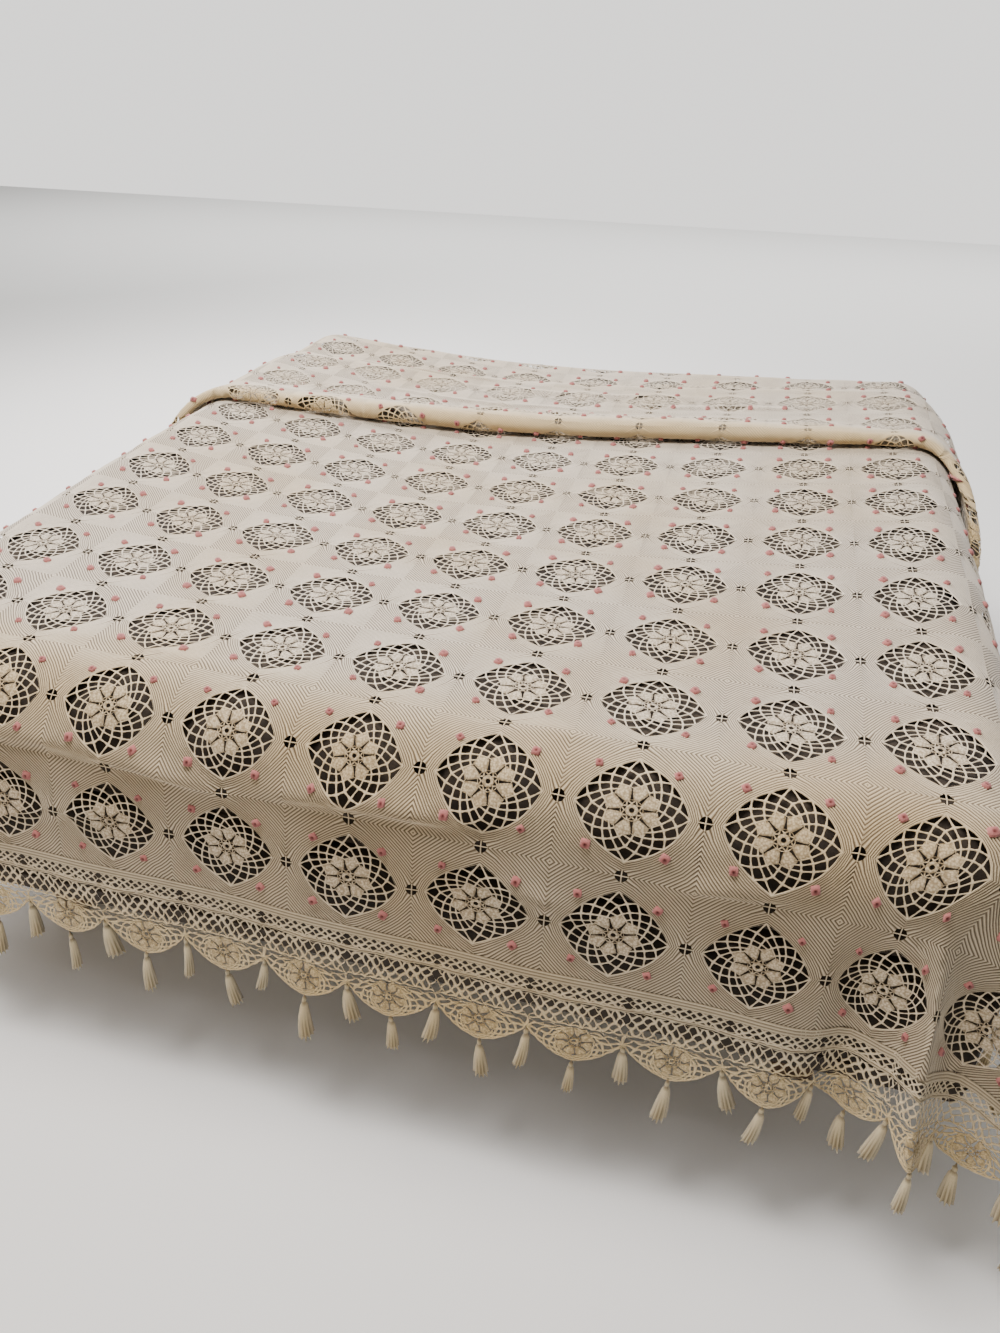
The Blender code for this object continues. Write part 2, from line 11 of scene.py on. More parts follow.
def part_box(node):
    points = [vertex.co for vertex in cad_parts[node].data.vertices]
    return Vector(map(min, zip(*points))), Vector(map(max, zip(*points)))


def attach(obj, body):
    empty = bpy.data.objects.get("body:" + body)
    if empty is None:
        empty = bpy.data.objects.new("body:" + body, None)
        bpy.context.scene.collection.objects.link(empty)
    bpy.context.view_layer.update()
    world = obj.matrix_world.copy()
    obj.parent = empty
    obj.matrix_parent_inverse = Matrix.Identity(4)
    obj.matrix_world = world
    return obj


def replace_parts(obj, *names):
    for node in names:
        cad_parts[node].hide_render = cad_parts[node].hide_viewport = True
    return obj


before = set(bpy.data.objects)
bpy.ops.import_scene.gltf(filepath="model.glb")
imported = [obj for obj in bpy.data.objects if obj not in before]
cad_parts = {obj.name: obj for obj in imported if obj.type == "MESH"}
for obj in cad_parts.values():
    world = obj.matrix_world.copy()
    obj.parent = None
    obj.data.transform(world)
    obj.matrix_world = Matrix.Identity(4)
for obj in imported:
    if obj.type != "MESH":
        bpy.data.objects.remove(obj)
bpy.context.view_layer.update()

# ---------------------------------------------------------------- sizes of the cloth and the bed, metres
# the crocheted squares, and the lace sewn round three sides of them
TILE = 0.200
TILES_ACROSS, TILES_ALONG = 13, 17
FLAT_HALF = TILE * TILES_ACROSS / 2
FLAT_LONG = TILE * TILES_ALONG
LACE_VALLEY, LACE_TIP = 0.098, 0.146
SCALLOPS_FOOT, SCALLOPS_SIDE = 18, 24

# the bed's top, the part of it that is flat, and the rounding of its edges
TOP_HIGH = 0.730
HALF_FLAT = 0.855
FOOT_FLAT, HEAD_FLAT = 0.000, 1.895
EDGE_ROUND = 0.120
HEAD_FADE = 0.45

# how the rows of squares run over the bed: where the hem lies, and how they skew and bow
SHIFT_ACROSS = 0.015
HEM_PATH = -0.392
ROW_STRETCH, ROW_SKEW, ROW_BOW = 0.984, -0.012, 0.110
BOW_CENTRE = -0.250
BOW_STARTS, BOW_FULL = 0.2, 1.5
# the top's soft hollow, and its rise to the sides
HOLLOW_DEEP, HOLLOW_WIDE, HOLLOW_CENTRE = 0.020, 0.550, -0.250
SIDE_RISE, SOFT_FULL = 0.025, 0.900
# how far out the drops lean on their way down
SIDE_LEAN, FOOT_LEAN = 0.120, 0.160
# which drop, length of one wave, size, where it starts
WAVES = (
    ("foot", 0.90, 0.016, 0.6),
    ("foot", 0.37, 0.012, 2.1),
    ("side", 0.78, 0.030, 1.0),
    ("side", 0.41, 0.016, 0.3),
)
WAVE_FADE, WAVE_OFFSET = 0.300, 0.300
# the tuck beside each foot corner, and how it joins the corner's folds
TUCK_INSIDE, TUCK_WIDE, TUCK_LEAN = 0.075, 0.055, 0.120
JOIN_WIDE = 0.050
# place across the bed, how far the hem is pulled in
GATHER = (
    (0.60, 0.000),
    (0.72, 0.012),
    (0.80, 0.034),
    (0.87, 0.044),
    (0.95, 0.034),
    (1.05, 0.015),
    (1.15, 0.000),
)
GATHER_STARTS, GATHER_FULL = 0.02, 0.20
# fold, lean sideways, lean to the foot
CORNER_FOLDS = (
    ("foot drop", 0.000, 0.140),
    ("near ridge", 0.040, 0.270),
    ("near valley", 0.080, 0.100),
    ("corner ridge", 0.385, 0.330),
    ("inner valley", 0.225, -0.020),
    ("side ridge", 0.215, -0.070),
    ("side drop", SIDE_LEAN, 0.000),
)
# the pleat's front, its slope across the bed, its depth, and how its ends curl to the foot
PLEAT_FRONT, PLEAT_SKEW, PLEAT_DEEP = 1.245, 0.090, 0.460
PLEAT_CURL_RIGHT, PLEAT_CURL_LEFT = 0.250, 0.070
CURL_STARTS, CURL_FULL = 0.880, 1.100
# how thick the pleat's turns are on the top and on the side drops
LAYER_STEP, LAYER_STEP_DROP = 0.0080, 0.0220
ROLL_ROUND, ROLL_ROUND_DROP = 0.0220, 0.0110
ROLL_SHRINKS, ROLL_SMALL = 0.300, 1.000
ROLL_FADE = 0.160
# where the upper layer comes down past the pleat's back
BACK_BEFORE, BACK_PAST, BACK_REST = 0.020, 0.070, 0.001
# the pleat's hidden layers, pressed up against the layer over them
PRESSED_FIRST, PRESSED_SECOND = 0.0095, 0.0055
PRESS_FADES, PRESS_GONE = 0.80, 0.88
PRESS_FRONT, PRESS_FRONT_FULL = 0.06, 0.13
PRESS_BACK_FULL, PRESS_BACK = 0.05, 0.01
KNOT_STEPS, FOLD_SAMPLES = 40, 400
NUDGE = 0.0015

# squares a little pillowed, and the soft waves that the hand has left
PILLOW_HIGH, RUMPLE_HIGH = 0.0005, 0.0010
RUMPLE_TURNS = ((23.0, 9.0), (-7.0, 31.0))
# crease, across, along, slope, half length, half width, height
CREASES = (
    ("left ridge", -0.640, 0.226, 0.050, 0.260, 0.024, 0.0160),
    ("left trough", -0.600, 0.198, 0.040, 0.200, 0.010, -0.0022),
    ("middle ridge", -0.330, 0.212, -0.060, 0.190, 0.022, 0.0160),
    ("middle trough", -0.320, 0.188, -0.050, 0.150, 0.010, -0.0020),
    ("right ridge", 0.040, 0.230, 0.100, 0.220, 0.024, 0.0200),
    ("right trough", 0.050, 0.202, 0.100, 0.180, 0.011, -0.0024),
    ("low ridge", 0.290, 0.135, -0.180, 0.150, 0.022, 0.0090),
    ("low left ridge", -0.470, 0.105, 0.220, 0.130, 0.020, 0.0080),
    ("corner ridge", 0.560, 0.210, 0.160, 0.130, 0.020, 0.0100),
    ("edge ridge", 0.330, 0.395, 0.090, 0.260, 0.024, 0.0050),
    ("edge left ridge", -0.300, 0.420, -0.040, 0.320, 0.026, 0.0045),
    ("top ridge", -0.080, 0.905, 0.060, 0.420, 0.030, 0.0035),
    ("top far ridge", 0.250, 1.290, -0.030, 0.360, 0.026, 0.0035),
    ("roll ridge left", -0.480, 2.640, 0.070, 0.260, 0.013, 0.0060),
    ("roll ridge middle", -0.060, 2.665, 0.050, 0.300, 0.014, 0.0070),
    ("roll ridge right", 0.420, 2.690, -0.060, 0.280, 0.013, 0.0060),
    ("head ridge near", -0.250, 2.790, 0.030, 0.380, 0.016, 0.0060),
    ("head ridge right", 0.380, 2.850, -0.020, 0.340, 0.018, 0.0065),
    ("head ridge middle", -0.020, 2.935, 0.020, 0.420, 0.017, 0.0065),
    ("head ridge left", -0.450, 3.010, -0.040, 0.300, 0.016, 0.0055),
    ("head ridge far", 0.260, 3.080, 0.030, 0.400, 0.018, 0.0060),
)
CREASE_WAVE, CREASE_TURNS, CREASE_MIXED = 0.0050, 17.0, 40.0
STEEP_SIDE, CREASE_TAPER = 0.50, 1.5

low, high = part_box("bed_base")
SHIFT = np.array([(low.x + high.x) / 2, (low.y + high.y) / 2 - (FOOT_FLAT + HEAD_FLAT) / 2, 0.0])


# ---------------------------------------------------------------- where a flat cloth point lies
def ease(value, start, end):
    """From 0 at the start to 1 at the end, with soft ends."""
    part = np.clip((value - start) / (end - start), 0.0, 1.0)
    return part * part * (3.0 - 2.0 * part)


def bed_height(x, y):
    """How far the top lies off its level."""
    hollow = HOLLOW_DEEP * np.exp(-(((x - HOLLOW_CENTRE) / HOLLOW_WIDE) ** 2))
    rise = SIDE_RISE * np.clip(np.abs(x) / HALF_FLAT, 0.0, 1.0) ** 2
    return (rise - hollow) * ease(y, 0.0, SOFT_FULL)


def laid(across, along):
    """How far sideways a flat cloth point comes to lie, and its path up from the foot edge."""
    bowed = ease(along, BOW_STARTS, BOW_FULL)
    bow = ROW_BOW * (np.clip(across, -1.0, 1.0) - BOW_CENTRE) ** 2
    path = HEM_PATH + ROW_STRETCH * along + ROW_SKEW * across
    return across + SHIFT_ACROSS, path + bow * bowed


def layer_step(side):
    """The room between the pleat's lower layers."""
    return LAYER_STEP + (LAYER_STEP_DROP - LAYER_STEP) * ease(np.abs(side), CURL_STARTS, CURL_FULL)


def roll_round(side):
    """The radius of the roll at the pleat's front."""
    return ROLL_ROUND + (ROLL_ROUND_DROP - ROLL_ROUND) * ease(np.abs(side), ROLL_SHRINKS, ROLL_SMALL)


def back_line(side):
    """The path at which the cloth first turns back, at the pleat's back."""
    curl = np.where(side < 0, PLEAT_CURL_LEFT, PLEAT_CURL_RIGHT)
    curl = curl * ease(np.abs(side), CURL_STARTS, CURL_FULL)
    front = PLEAT_FRONT + PLEAT_SKEW * np.clip(side, -1.0, 1.0) - curl
    return front + PLEAT_DEEP - (pi / 2 - 1) * roll_round(side)


def pleated(side, path):
    """Where along the bed a point of the path lies, and how high over the bed."""
    back = back_line(side)
    roll = roll_round(side)
    step = layer_step(side)
    back_half = pi / 2 * step / 2
    roll_half = pi / 2 * roll
    past_back = path - back
    past_front = past_back - PLEAT_DEEP
    turn_back = np.clip(past_back / (step / 2), -pi / 2, pi / 2)
    turn_front = np.clip(past_front / roll, -pi / 2, pi / 2)
    upper = path - 2 * PLEAT_DEEP
    place = np.where(past_back < -back_half, path, 2 * back - path)
    bent = back - back_half + step / 2 * np.cos(turn_back)
    place = np.where(np.abs(past_back) <= back_half, bent, place)
    place = np.where(past_front > roll_half, upper, place)
    crest = back - PLEAT_DEEP + roll_half
    place = np.where(np.abs(past_front) <= roll_half, crest - roll * np.cos(turn_front), place)
    lower = step / 2 * (1 + np.sin(turn_back))
    lift = lower + roll * (1 + np.sin(turn_front))
    behind = ease(upper, crest, crest + ROLL_FADE)
    beyond = ease(upper, back - BACK_BEFORE, back + BACK_PAST)
    rest = 2 * step * (1 - beyond) + BACK_REST * beyond
    return place, np.where(past_front > roll_half, lift + (rest - lift) * behind, lift)


def fold_table():
    """The lean of the folds round a foot corner, read from a smooth curve through their knots."""
    knots = np.array([row[1:] for row in CORNER_FOLDS])
    ends = np.vstack([2 * knots[0] - knots[1], knots, 2 * knots[-1] - knots[-2]])
    curve = []
    for i in range(1, len(ends) - 2):
        p0, p1, p2, p3 = ends[i - 1 : i + 3]
        for part in np.linspace(0.0, 1.0, KNOT_STEPS, endpoint=False):
            bend = 2 * p0 - 5 * p1 + 4 * p2 - p3
            last = 3 * p1 - p0 - 3 * p2 + p3
            curve.append(0.5 * (2 * p1 + (p2 - p0) * part + bend * part**2 + last * part**3))
    curve = np.vstack([curve, knots[-1]])
    run = np.concatenate([[0.0], np.cumsum(np.linalg.norm(np.diff(curve, axis=0), axis=1))])
    angles = np.linspace(0.0, pi / 2, FOLD_SAMPLES)
    spread = run[-1] * angles / angles[-1]
    return angles, np.interp(spread, run, curve[:, 0]), np.interp(spread, run, curve[:, 1])


FOLD_ANGLES, FOLD_SIDE, FOLD_FOOT = fold_table()


def wave(drop, place):
    """The extra lean of a drop's soft waves."""
    lean = 0.0 * place
    for name, length, size, phase in WAVES:
        if name == drop:
            lean = lean + size * np.sin(2 * pi * place / length + phase)
    return lean


def gathered(side, out_foot):
    """How far the foot drop is pulled in beside the corners."""
    places, pulls = np.array(GATHER).T
    return np.interp(np.abs(side), places, pulls) * ease(out_foot, GATHER_STARTS, GATHER_FULL)


def draped(across, along, raised=0.0):
    """World place of a flat cloth point, raised a little off the cloth's middle."""
    side, path = laid(across, along)
    place, lift = pleated(side, path)
    lift = lift + raised
    hand = np.where(side < 0, -1.0, 1.0)
    past_side = np.abs(side) - HALF_FLAT
    out_side = np.maximum(past_side, 0.0)
    out_foot = np.maximum(FOOT_FLAT - place, 0.0)
    far = np.hypot(out_side, out_foot)
    angle = np.where(far > 0, np.arctan2(out_side, np.maximum(out_foot, 1e-9)), 0.0)
    angle = np.where((out_foot <= 0) & (out_side > 0), pi / 2, angle)

    lean_side = np.interp(angle, FOLD_ANGLES, FOLD_SIDE)
    lean_foot = np.interp(angle, FOLD_ANGLES, FOLD_FOOT)
    on_foot = ease(-past_side, 0.0, WAVE_FADE)
    tuck = TUCK_LEAN * np.exp(-(((past_side + TUCK_INSIDE) / TUCK_WIDE) ** 2))
    plain = FOOT_LEAN + wave("foot", side) * on_foot - tuck
    meet = CORNER_FOLDS[0][2] - FOOT_LEAN + TUCK_LEAN * np.exp(-((TUCK_INSIDE / TUCK_WIDE) ** 2))
    join = plain + meet * (1 - ease(-past_side, 0.0, JOIN_WIDE))
    foot_only = (past_side <= 0) & (out_foot > 0)
    lean_foot = np.where(foot_only, join, lean_foot)
    lean_side = np.where(foot_only, 0.0, lean_side)
    side_only = (out_foot <= 0) & (out_side > 0)
    settled = ease(place, 0.0, WAVE_FADE)
    lean_side = np.where(side_only, SIDE_LEAN + wave("side", place + WAVE_OFFSET * hand) * settled, lean_side)
    lean_foot = np.where(side_only, 0.0, lean_foot)

    level = np.stack([np.sin(angle), -np.cos(angle), 0 * angle], -1)
    drop = np.sqrt(1 - lean_side**2 - lean_foot**2)
    hang = np.stack([lean_side, -lean_foot, -drop], -1)
    cosine = np.sum(level * hang, -1)
    bend = np.arccos(np.clip(cosine, -1, 1))
    down = (hang - level * cosine[..., None]) / np.sin(bend)[..., None]
    turned = np.minimum(far / EDGE_ROUND, bend)
    straight = np.maximum(far - EDGE_ROUND * bend, 0.0)
    arc = EDGE_ROUND * (np.sin(turned)[..., None] * level + (1 - np.cos(turned))[..., None] * down)
    outward = np.sin(turned)[..., None] * level - np.cos(turned)[..., None] * down
    outward = np.where((far > 0)[..., None], outward, np.array([0.0, 0.0, 1.0]))
    arc = np.where((far > 0)[..., None], arc + straight[..., None] * hang, 0.0)

    past_head = np.maximum(place - HEAD_FLAT, 0.0)
    nod = np.minimum(past_head / EDGE_ROUND, pi / 2)
    over = EDGE_ROUND * np.sin(nod)
    sunk = EDGE_ROUND * (1 - np.cos(nod)) + np.maximum(past_head - EDGE_ROUND * pi / 2, 0.0)
    on_top = 1 - ease(past_side, 0.0, HEAD_FADE)
    y = np.maximum(place, FOOT_FLAT) + (over - past_head) * on_top
    x = np.minimum(np.abs(side), HALF_FLAT)
    offset = arc + outward * lift[..., None]
    x_place = hand * (x + offset[..., 0] - gathered(side, out_foot))
    spot = np.stack([x_place, y + offset[..., 1], offset[..., 2]], -1)
    soft = bed_height(hand * x, np.clip(place, FOOT_FLAT, HEAD_FLAT))
    spot[..., 2] += TOP_HIGH + soft - sunk * on_top
    return spot + SHIFT


def pressed(across, along):
    """How far the pleat's two hidden layers lie up against the layer over them."""
    side, path = laid(across, along)
    back = back_line(side)
    front = back - PLEAT_DEEP
    on_top = 1 - ease(np.abs(side), PRESS_FADES, PRESS_GONE)
    under = np.where(path < back, path, 2 * back - path)
    inside = ease(under, front + PRESS_FRONT, front + PRESS_FRONT_FULL)
    inside *= 1 - ease(under, back - PRESS_BACK_FULL, back - PRESS_BACK)
    amount = np.where(path < back, PRESSED_FIRST, PRESSED_SECOND) * (path < back + PLEAT_DEEP)
    return amount * inside * on_top


def creased(across, along):
    """Ridges and troughs that handling has left in the cloth."""
    high = 0.0 * across
    for _, middle_across, middle_along, slope, half_long, half_wide, size in CREASES:
        run = across - middle_across
        bend = CREASE_WAVE * np.sin(CREASE_TURNS * run + CREASE_MIXED * middle_along)
        off = along - middle_along - slope * run - bend
        fade = np.clip(1 - (run / half_long) ** 2, 0.0, 1.0) ** CREASE_TAPER
        wide = np.where(off < 0, STEEP_SIDE * half_wide, half_wide)
        high = high + size * fade * np.exp(-((off / wide) ** 2))
    return high


def soft_puff(across, along):
    """The slight unevenness of the whole cloth."""
    pillow = PILLOW_HIGH * np.cos(2 * pi * across / TILE) * np.cos(2 * pi * (along / TILE + 0.5))
    first, second = (np.sin(turns[0] * across + turns[1] * along) for turns in RUMPLE_TURNS)
    return pillow + RUMPLE_HIGH * first * second


def hung(flat):
    """World places of flat points (across, along, height off the cloth)."""
    across, along, raised = flat[:, 0], flat[:, 1], flat[:, 2]
    du = draped(across + NUDGE, along) - draped(across - NUDGE, along)
    dv = draped(across, along + NUDGE) - draped(across, along - NUDGE)
    normal = np.cross(du, dv)
    normal /= np.linalg.norm(normal, axis=-1)[:, None]
    puff = soft_puff(across, along) + creased(across, along)
    return draped(across, along, pressed(across, along)) + normal * (raised + puff)[:, None]


# ---------------------------------------------------------------- camera, light, floor
def placed(name, data):
    """A new object in the scene."""
    made = bpy.data.objects.new(name, data)
    bpy.context.scene.collection.objects.link(made)
    return made


def look_from(place, azimuth, elevation, roll, lens):
    """The camera, turned by azimuth from +Y to +X, tilted, and rolled about its own axis."""
    forward = Vector((sin(azimuth) * cos(elevation), cos(azimuth) * cos(elevation), sin(elevation)))
    right = forward.cross(Vector((0, 0, 1))).normalized()
    up = right.cross(forward)
    turned_right = right * cos(roll) + up * sin(roll)
    turned_up = up * cos(roll) - right * sin(roll)
    camera = bpy.data.cameras.new("camera")
    camera.lens = lens
    camera.sensor_width = 36.0
    camera.sensor_fit = "AUTO"
    camera.clip_end = 50.0
    made = placed("camera", camera)
    turn = Matrix((turned_right, turned_up, -forward)).transposed().to_4x4()
    made.matrix_world = Matrix.Translation(place) @ turn
    bpy.context.scene.camera = made


def area_light(name, place, target, size, power, colour):
    """A soft light that faces its target."""
    lamp = bpy.data.lights.new(name, "AREA")
    lamp.shape = "RECTANGLE"
    lamp.size, lamp.size_y = size
    lamp.energy = power
    lamp.color = colour
    way = Vector(target) - Vector(place)
    turn = way.to_track_quat("-Z", "Y").to_matrix().to_4x4()
    placed(name, lamp).matrix_world = Matrix.Translation(place) @ turn


# ---------------------------------------------------------------- materials
def look(name):
    """A new material, its node tree and its shader."""
    made = bpy.data.materials.new(name)
    made.use_nodes = True
    return made, made.node_tree, made.node_tree.nodes["Principled BSDF"]


def feed(tree, node, inputs):
    """Gives a node its inputs: a value is set on the socket, and a socket is linked to it."""
    for key, value in inputs.items():
        if isinstance(value, bpy.types.NodeSocket):
            tree.links.new(value, node.inputs[key])
        else:
            node.inputs[key].default_value = value


def add(tree, kind, inputs=None, **settings):
    """One more node, with its settings and its inputs."""
    made = tree.nodes.new("ShaderNode" + kind)
    for key, value in settings.items():
        setattr(made, key, value)
    feed(tree, made, inputs or {})
    return made


def noise(tree, place, scale, detail):
    return add(tree, "TexNoise", {"Vector": place, "Scale": scale, "Detail": detail}).outputs["Fac"]


def lumps(tree, place, scale):
    return add(tree, "TexVoronoi", {"Vector": place, "Scale": scale}).outputs["Distance"]


def attribute(tree, name):
    return add(tree, "Attribute", attribute_name=name).outputs["Fac"]


def reckoned(tree, operation, first, second):
    return add(tree, "Math", {0: first, 1: second}, operation=operation).outputs[0]


def mixed(tree, part, first, second, blend="MIX"):
    inputs = {0: part, 6: first, 7: second}
    return add(tree, "Mix", inputs, data_type="RGBA", blend_type=blend).outputs[2]


def bumped(tree, height, strength, distance):
    inputs = {"Height": height, "Strength": strength, "Distance": distance}
    return add(tree, "Bump", inputs).outputs["Normal"]


def ramp(tree, value, *stops):
    made = add(tree, "ValToRGB", {"Fac": value})
    marks = made.color_ramp.elements
    while len(marks) < len(stops):
        marks.new(0.5)
    for mark, (place, colour) in zip(marks, stops):
        mark.position = place
        mark.color = (*colour, 1.0)
    return made.outputs["Color"]


def scaled_range(tree, value, low, high):
    return add(tree, "MapRange", {"Value": value, "To Min": low, "To Max": high}).outputs["Result"]


# how fine the yarn's stitches, knots, clumps and flecks are, and its patches of age
STITCH, KNOT, CLUMP, FLECK, PATCH = 620.0, 430.0, 300.0, 45.0, 3.1
PETAL_SHADE = (0.52, 0.48, 0.42)
# the tint of the painted warm shade
WARM_SHADE_TINT = (0.96, 0.86, 0.62)


def yarn_look(name, light, dark, aged, rough=0.85):
    """Cotton yarn: small stitches in relief, painted light on crests, painted shade in hollows, soft ageing
    in patches.
    """
    made, tree, shader = look(name)
    place = add(tree, "TexCoord").outputs["Object"]
    stitch = noise(tree, place, STITCH, 2.0)
    patch = noise(tree, place, PATCH, 3.0)
    fleck = noise(tree, place, FLECK, 3.0)
    # painted light on raised points and painted shade in hollows, read from each point's height
    crest = ramp(tree, attribute(tree, "relief"), (0.15, dark), (0.78, light))
    worn = ramp(tree, patch, (0.42, (0, 0, 0)), (0.70, (0.60, 0.60, 0.60)))
    colour = mixed(tree, worn, crest, mixed(tree, 1.0, crest, (*aged, 1), "MULTIPLY"))
    # painted warm shade where each point's share says: the roll, the foot edge, the drops and the lace
    warm_shaded = mixed(tree, 1.0, colour, (*WARM_SHADE_TINT, 1), "MULTIPLY")
    colour = mixed(tree, attribute(tree, "warm_shade"), colour, warm_shaded)
    clumps = ramp(tree, lumps(tree, place, CLUMP), (0.25, (1, 1, 1)), (0.75, PETAL_SHADE))
    colour = mixed(tree, attribute(tree, "bloom"), colour, mixed(tree, 1.0, colour, clumps, "MULTIPLY"))
    speck = scaled_range(tree, fleck, 0.90, 1.08)
    both = reckoned(tree, "MULTIPLY", speck, scaled_range(tree, stitch, 0.86, 1.12))
    grey = add(tree, "CombineColor", {"Red": both, "Green": both, "Blue": both}).outputs["Color"]
    height = reckoned(tree, "ADD", stitch, lumps(tree, place, KNOT))
    inputs = {
        "Base Color": mixed(tree, 1.0, colour, grey, "MULTIPLY"),
        "Normal": bumped(tree, height, 0.5, 0.0008),
        "Roughness": scaled_range(tree, stitch, rough - 0.06, rough + 0.08),
        "Sheen Weight": 0.25,
        "Sheen Roughness": 0.5,
        "Specular IOR Level": 0.25,
    }
    feed(tree, shader, inputs)
    return made


def woven_look(name, light, dark, scale, rough):
    """A plain woven cover, a little mottled."""
    made, tree, shader = look(name)
    place = add(tree, "TexCoord").outputs["Object"]
    grain = noise(tree, place, scale, 4.0)
    both = reckoned(tree, "MULTIPLY", grain, noise(tree, place, 5.0, 3.0))
    inputs = {
        "Base Color": ramp(tree, both, (0.12, dark), (0.42, light)),
        "Normal": bumped(tree, grain, 0.4, 0.0006),
        "Roughness": scaled_range(tree, grain, rough - 0.08, rough + 0.08),
    }
    feed(tree, shader, inputs)
    return made


def wood_look(name, light, dark):
    """Waxed wood with its grain upright."""
    made, tree, shader = look(name)
    place = add(tree, "TexCoord").outputs["Object"]
    long = add(tree, "Mapping", {"Vector": place, "Scale": (60.0, 60.0, 4.0)}).outputs["Vector"]
    lines = {"Vector": long, "Scale": 1.0, "Detail": 5.0, "Distortion": 0.6}
    grain = add(tree, "TexNoise", lines).outputs["Fac"]
    inputs = {
        "Base Color": ramp(tree, grain, (0.35, dark), (0.65, light)),
        "Normal": bumped(tree, grain, 0.25, 0.0008),
        "Roughness": scaled_range(tree, grain, 0.35, 0.55),
        "Coat Weight": 0.2,
        "Coat Roughness": 0.3,
    }
    feed(tree, shader, inputs)
    return made


# ---------------------------------------------------------------- one square of the spread, flat
# lengths here are shares of half a square; heights off the cloth are in metres
HALF = TILE / 2
# the ribbed ground: ribs from the medallion to the square's corner, and how they crowd to the corner
RIBS, RIB_SPREAD = 19, 1.25
WRAP_RIBS, CROSS_RIBS = 4, 6
RIB_TUCK = 0.15
# the medallion's reach along the axes and the diagonals, and how pointed its corners are
MEDALLION, SHOULDER = 0.77, 0.465
POINTED, ROUNDED, SLACKENED, SLACK_RIBS = 0.50, 0.85, 0.35, 4.0
OUTLINE_STEPS = 40
# the round hole between two squares, and the threads that cross in it
CROSS, CROSS_OVER, PLY = 0.095, 0.01, 0.010

# the net: its rings, the cells round it, its threads, and how it is stretched and turned
NET_RINGS = (1.00, 0.835, 0.690, 0.570, 0.475, 0.400)
NET_CELLS = 16
THREAD, THREAD_ROUND = 0.0118, 0.35
NET_ROUND, NET_EVEN = 0.93, 0.6
TWIST = radians(-16.0)

RIDGE_HIGH, VALLEY_HIGH = 0.0010, -0.0009
THREAD_HIGH, THREAD_LOW = 0.0010, -0.0001
RELIEF_HIGH = 0.0012
MERGE, NEAR = 0.0005, 0.1

# the flower: its petals, and the pierced ring and hub in its middle
PETALS = 8
PETAL_LOW, PETAL_HIGH = -0.0004, 0.0015
PETAL_RIM, PETAL_FLAT, FURROW = 0.32, 0.65, 0.80
PETAL_STARTS, PETAL_ENDS = 0.145, 0.385
PETAL_PLACES = (0.0, 0.25, 0.5, 0.75, 1.0)
PETAL_WIDTHS = (0.036, 0.070, 0.101, 0.113, 0.058)
PETAL_TIP, TIP_STARTS = 0.10, 0.6
PIERCED_RING, PIERCED_THREAD = (0.150, 0.095, 0.060), 0.010
HUB_HOLE, HUB_WIDE, HUB_STEPS = 0.034, 0.050, 16
HUB_HIGH, HUB_LOW = 0.0016, 0.0002


def whole(bm):
    return bm.verts[:] + bm.edges[:] + bm.faces[:]


def spun(bm, count):
    """Repeats the whole shape round the middle until there are count of it."""
    bmesh.ops.spin(
        bm,
        geom=whole(bm),
        cent=(0, 0, 0),
        axis=(0, 0, 1),
        angle=2 * pi - 2 * pi / count,
        steps=count - 1,
        use_duplicate=True,
    )


def grid_of(bm, rows, columns, place):
    """A sheet of faces whose points are put where place(row part, column part) says."""
    for vert in bmesh.ops.create_grid(bm, x_segments=rows, y_segments=columns, size=0.5)["verts"]:
        vert.co = place(vert.co.x + 0.5, vert.co.y + 0.5)


def rib_start(k):
    """Where rib k leaves the axis, the cross's round edge or the square's side."""
    if k <= WRAP_RIBS:
        return np.array([MEDALLION + (1 - CROSS - MEDALLION) * k / WRAP_RIBS, 0.0])
    if k <= CROSS_RIBS:
        turn = pi / 2 * (k - WRAP_RIBS) / (CROSS_RIBS - WRAP_RIBS)
        return np.array([1 - CROSS * cos(turn), CROSS * sin(turn)])
    return np.array([1.0, CROSS + (1 - CROSS) * (k - CROSS_RIBS) / (RIBS - CROSS_RIBS)])


def rib_point(k, part):
    """A point of rib k from its start (part 0) to the square's diagonal (part 1)."""
    start = rib_start(max(k, 0.0))
    reach = SHOULDER + (1 - SHOULDER) * (max(k, 0.0) / RIBS) ** RIB_SPREAD + min(k, 0.0) / RIBS
    end = np.array([reach, reach])
    loose = POINTED + (ROUNDED - POINTED) * min(max(k, 0.0) / WRAP_RIBS, 1.0)
    loose -= SLACKENED * min(max(k - WRAP_RIBS, 0.0) / SLACK_RIBS, 1.0)
    middle = end + np.array([1.0, -1.0]) * (start[0] - reach) * loose
    return (1 - part) ** 2 * start + 2 * part * (1 - part) * middle + part**2 * end


OUTLINE = np.array([rib_point(0.0, part) for part in np.linspace(0.0, 1.0, OUTLINE_STEPS)])
OUTLINE_ANGLE = np.arctan2(OUTLINE[:, 1], OUTLINE[:, 0])
OUTLINE_REACH = np.hypot(OUTLINE[:, 0], OUTLINE[:, 1])


def outline_reach(angle):
    """How far out the medallion's outline lies at an angle."""
    folded = np.abs((angle + pi / 4) % (pi / 2) - pi / 4)
    return np.interp(folded, OUTLINE_ANGLE, OUTLINE_REACH)


def eightfold(bm):
    """Copies one eighth of the square across its diagonal and round its middle."""
    swap = Matrix(((0, 1, 0, 0), (1, 0, 0, 0), (0, 0, 1, 0), (0, 0, 0, 1)))
    twin = bmesh.ops.duplicate(bm, geom=whole(bm))["geom"]
    verts = [item for item in twin if isinstance(item, bmesh.types.BMVert)]
    faces = [item for item in twin if isinstance(item, bmesh.types.BMFace)]
    bmesh.ops.transform(bm, matrix=swap, verts=verts)
    bmesh.ops.reverse_faces(bm, faces=faces)
    spun(bm, 4)


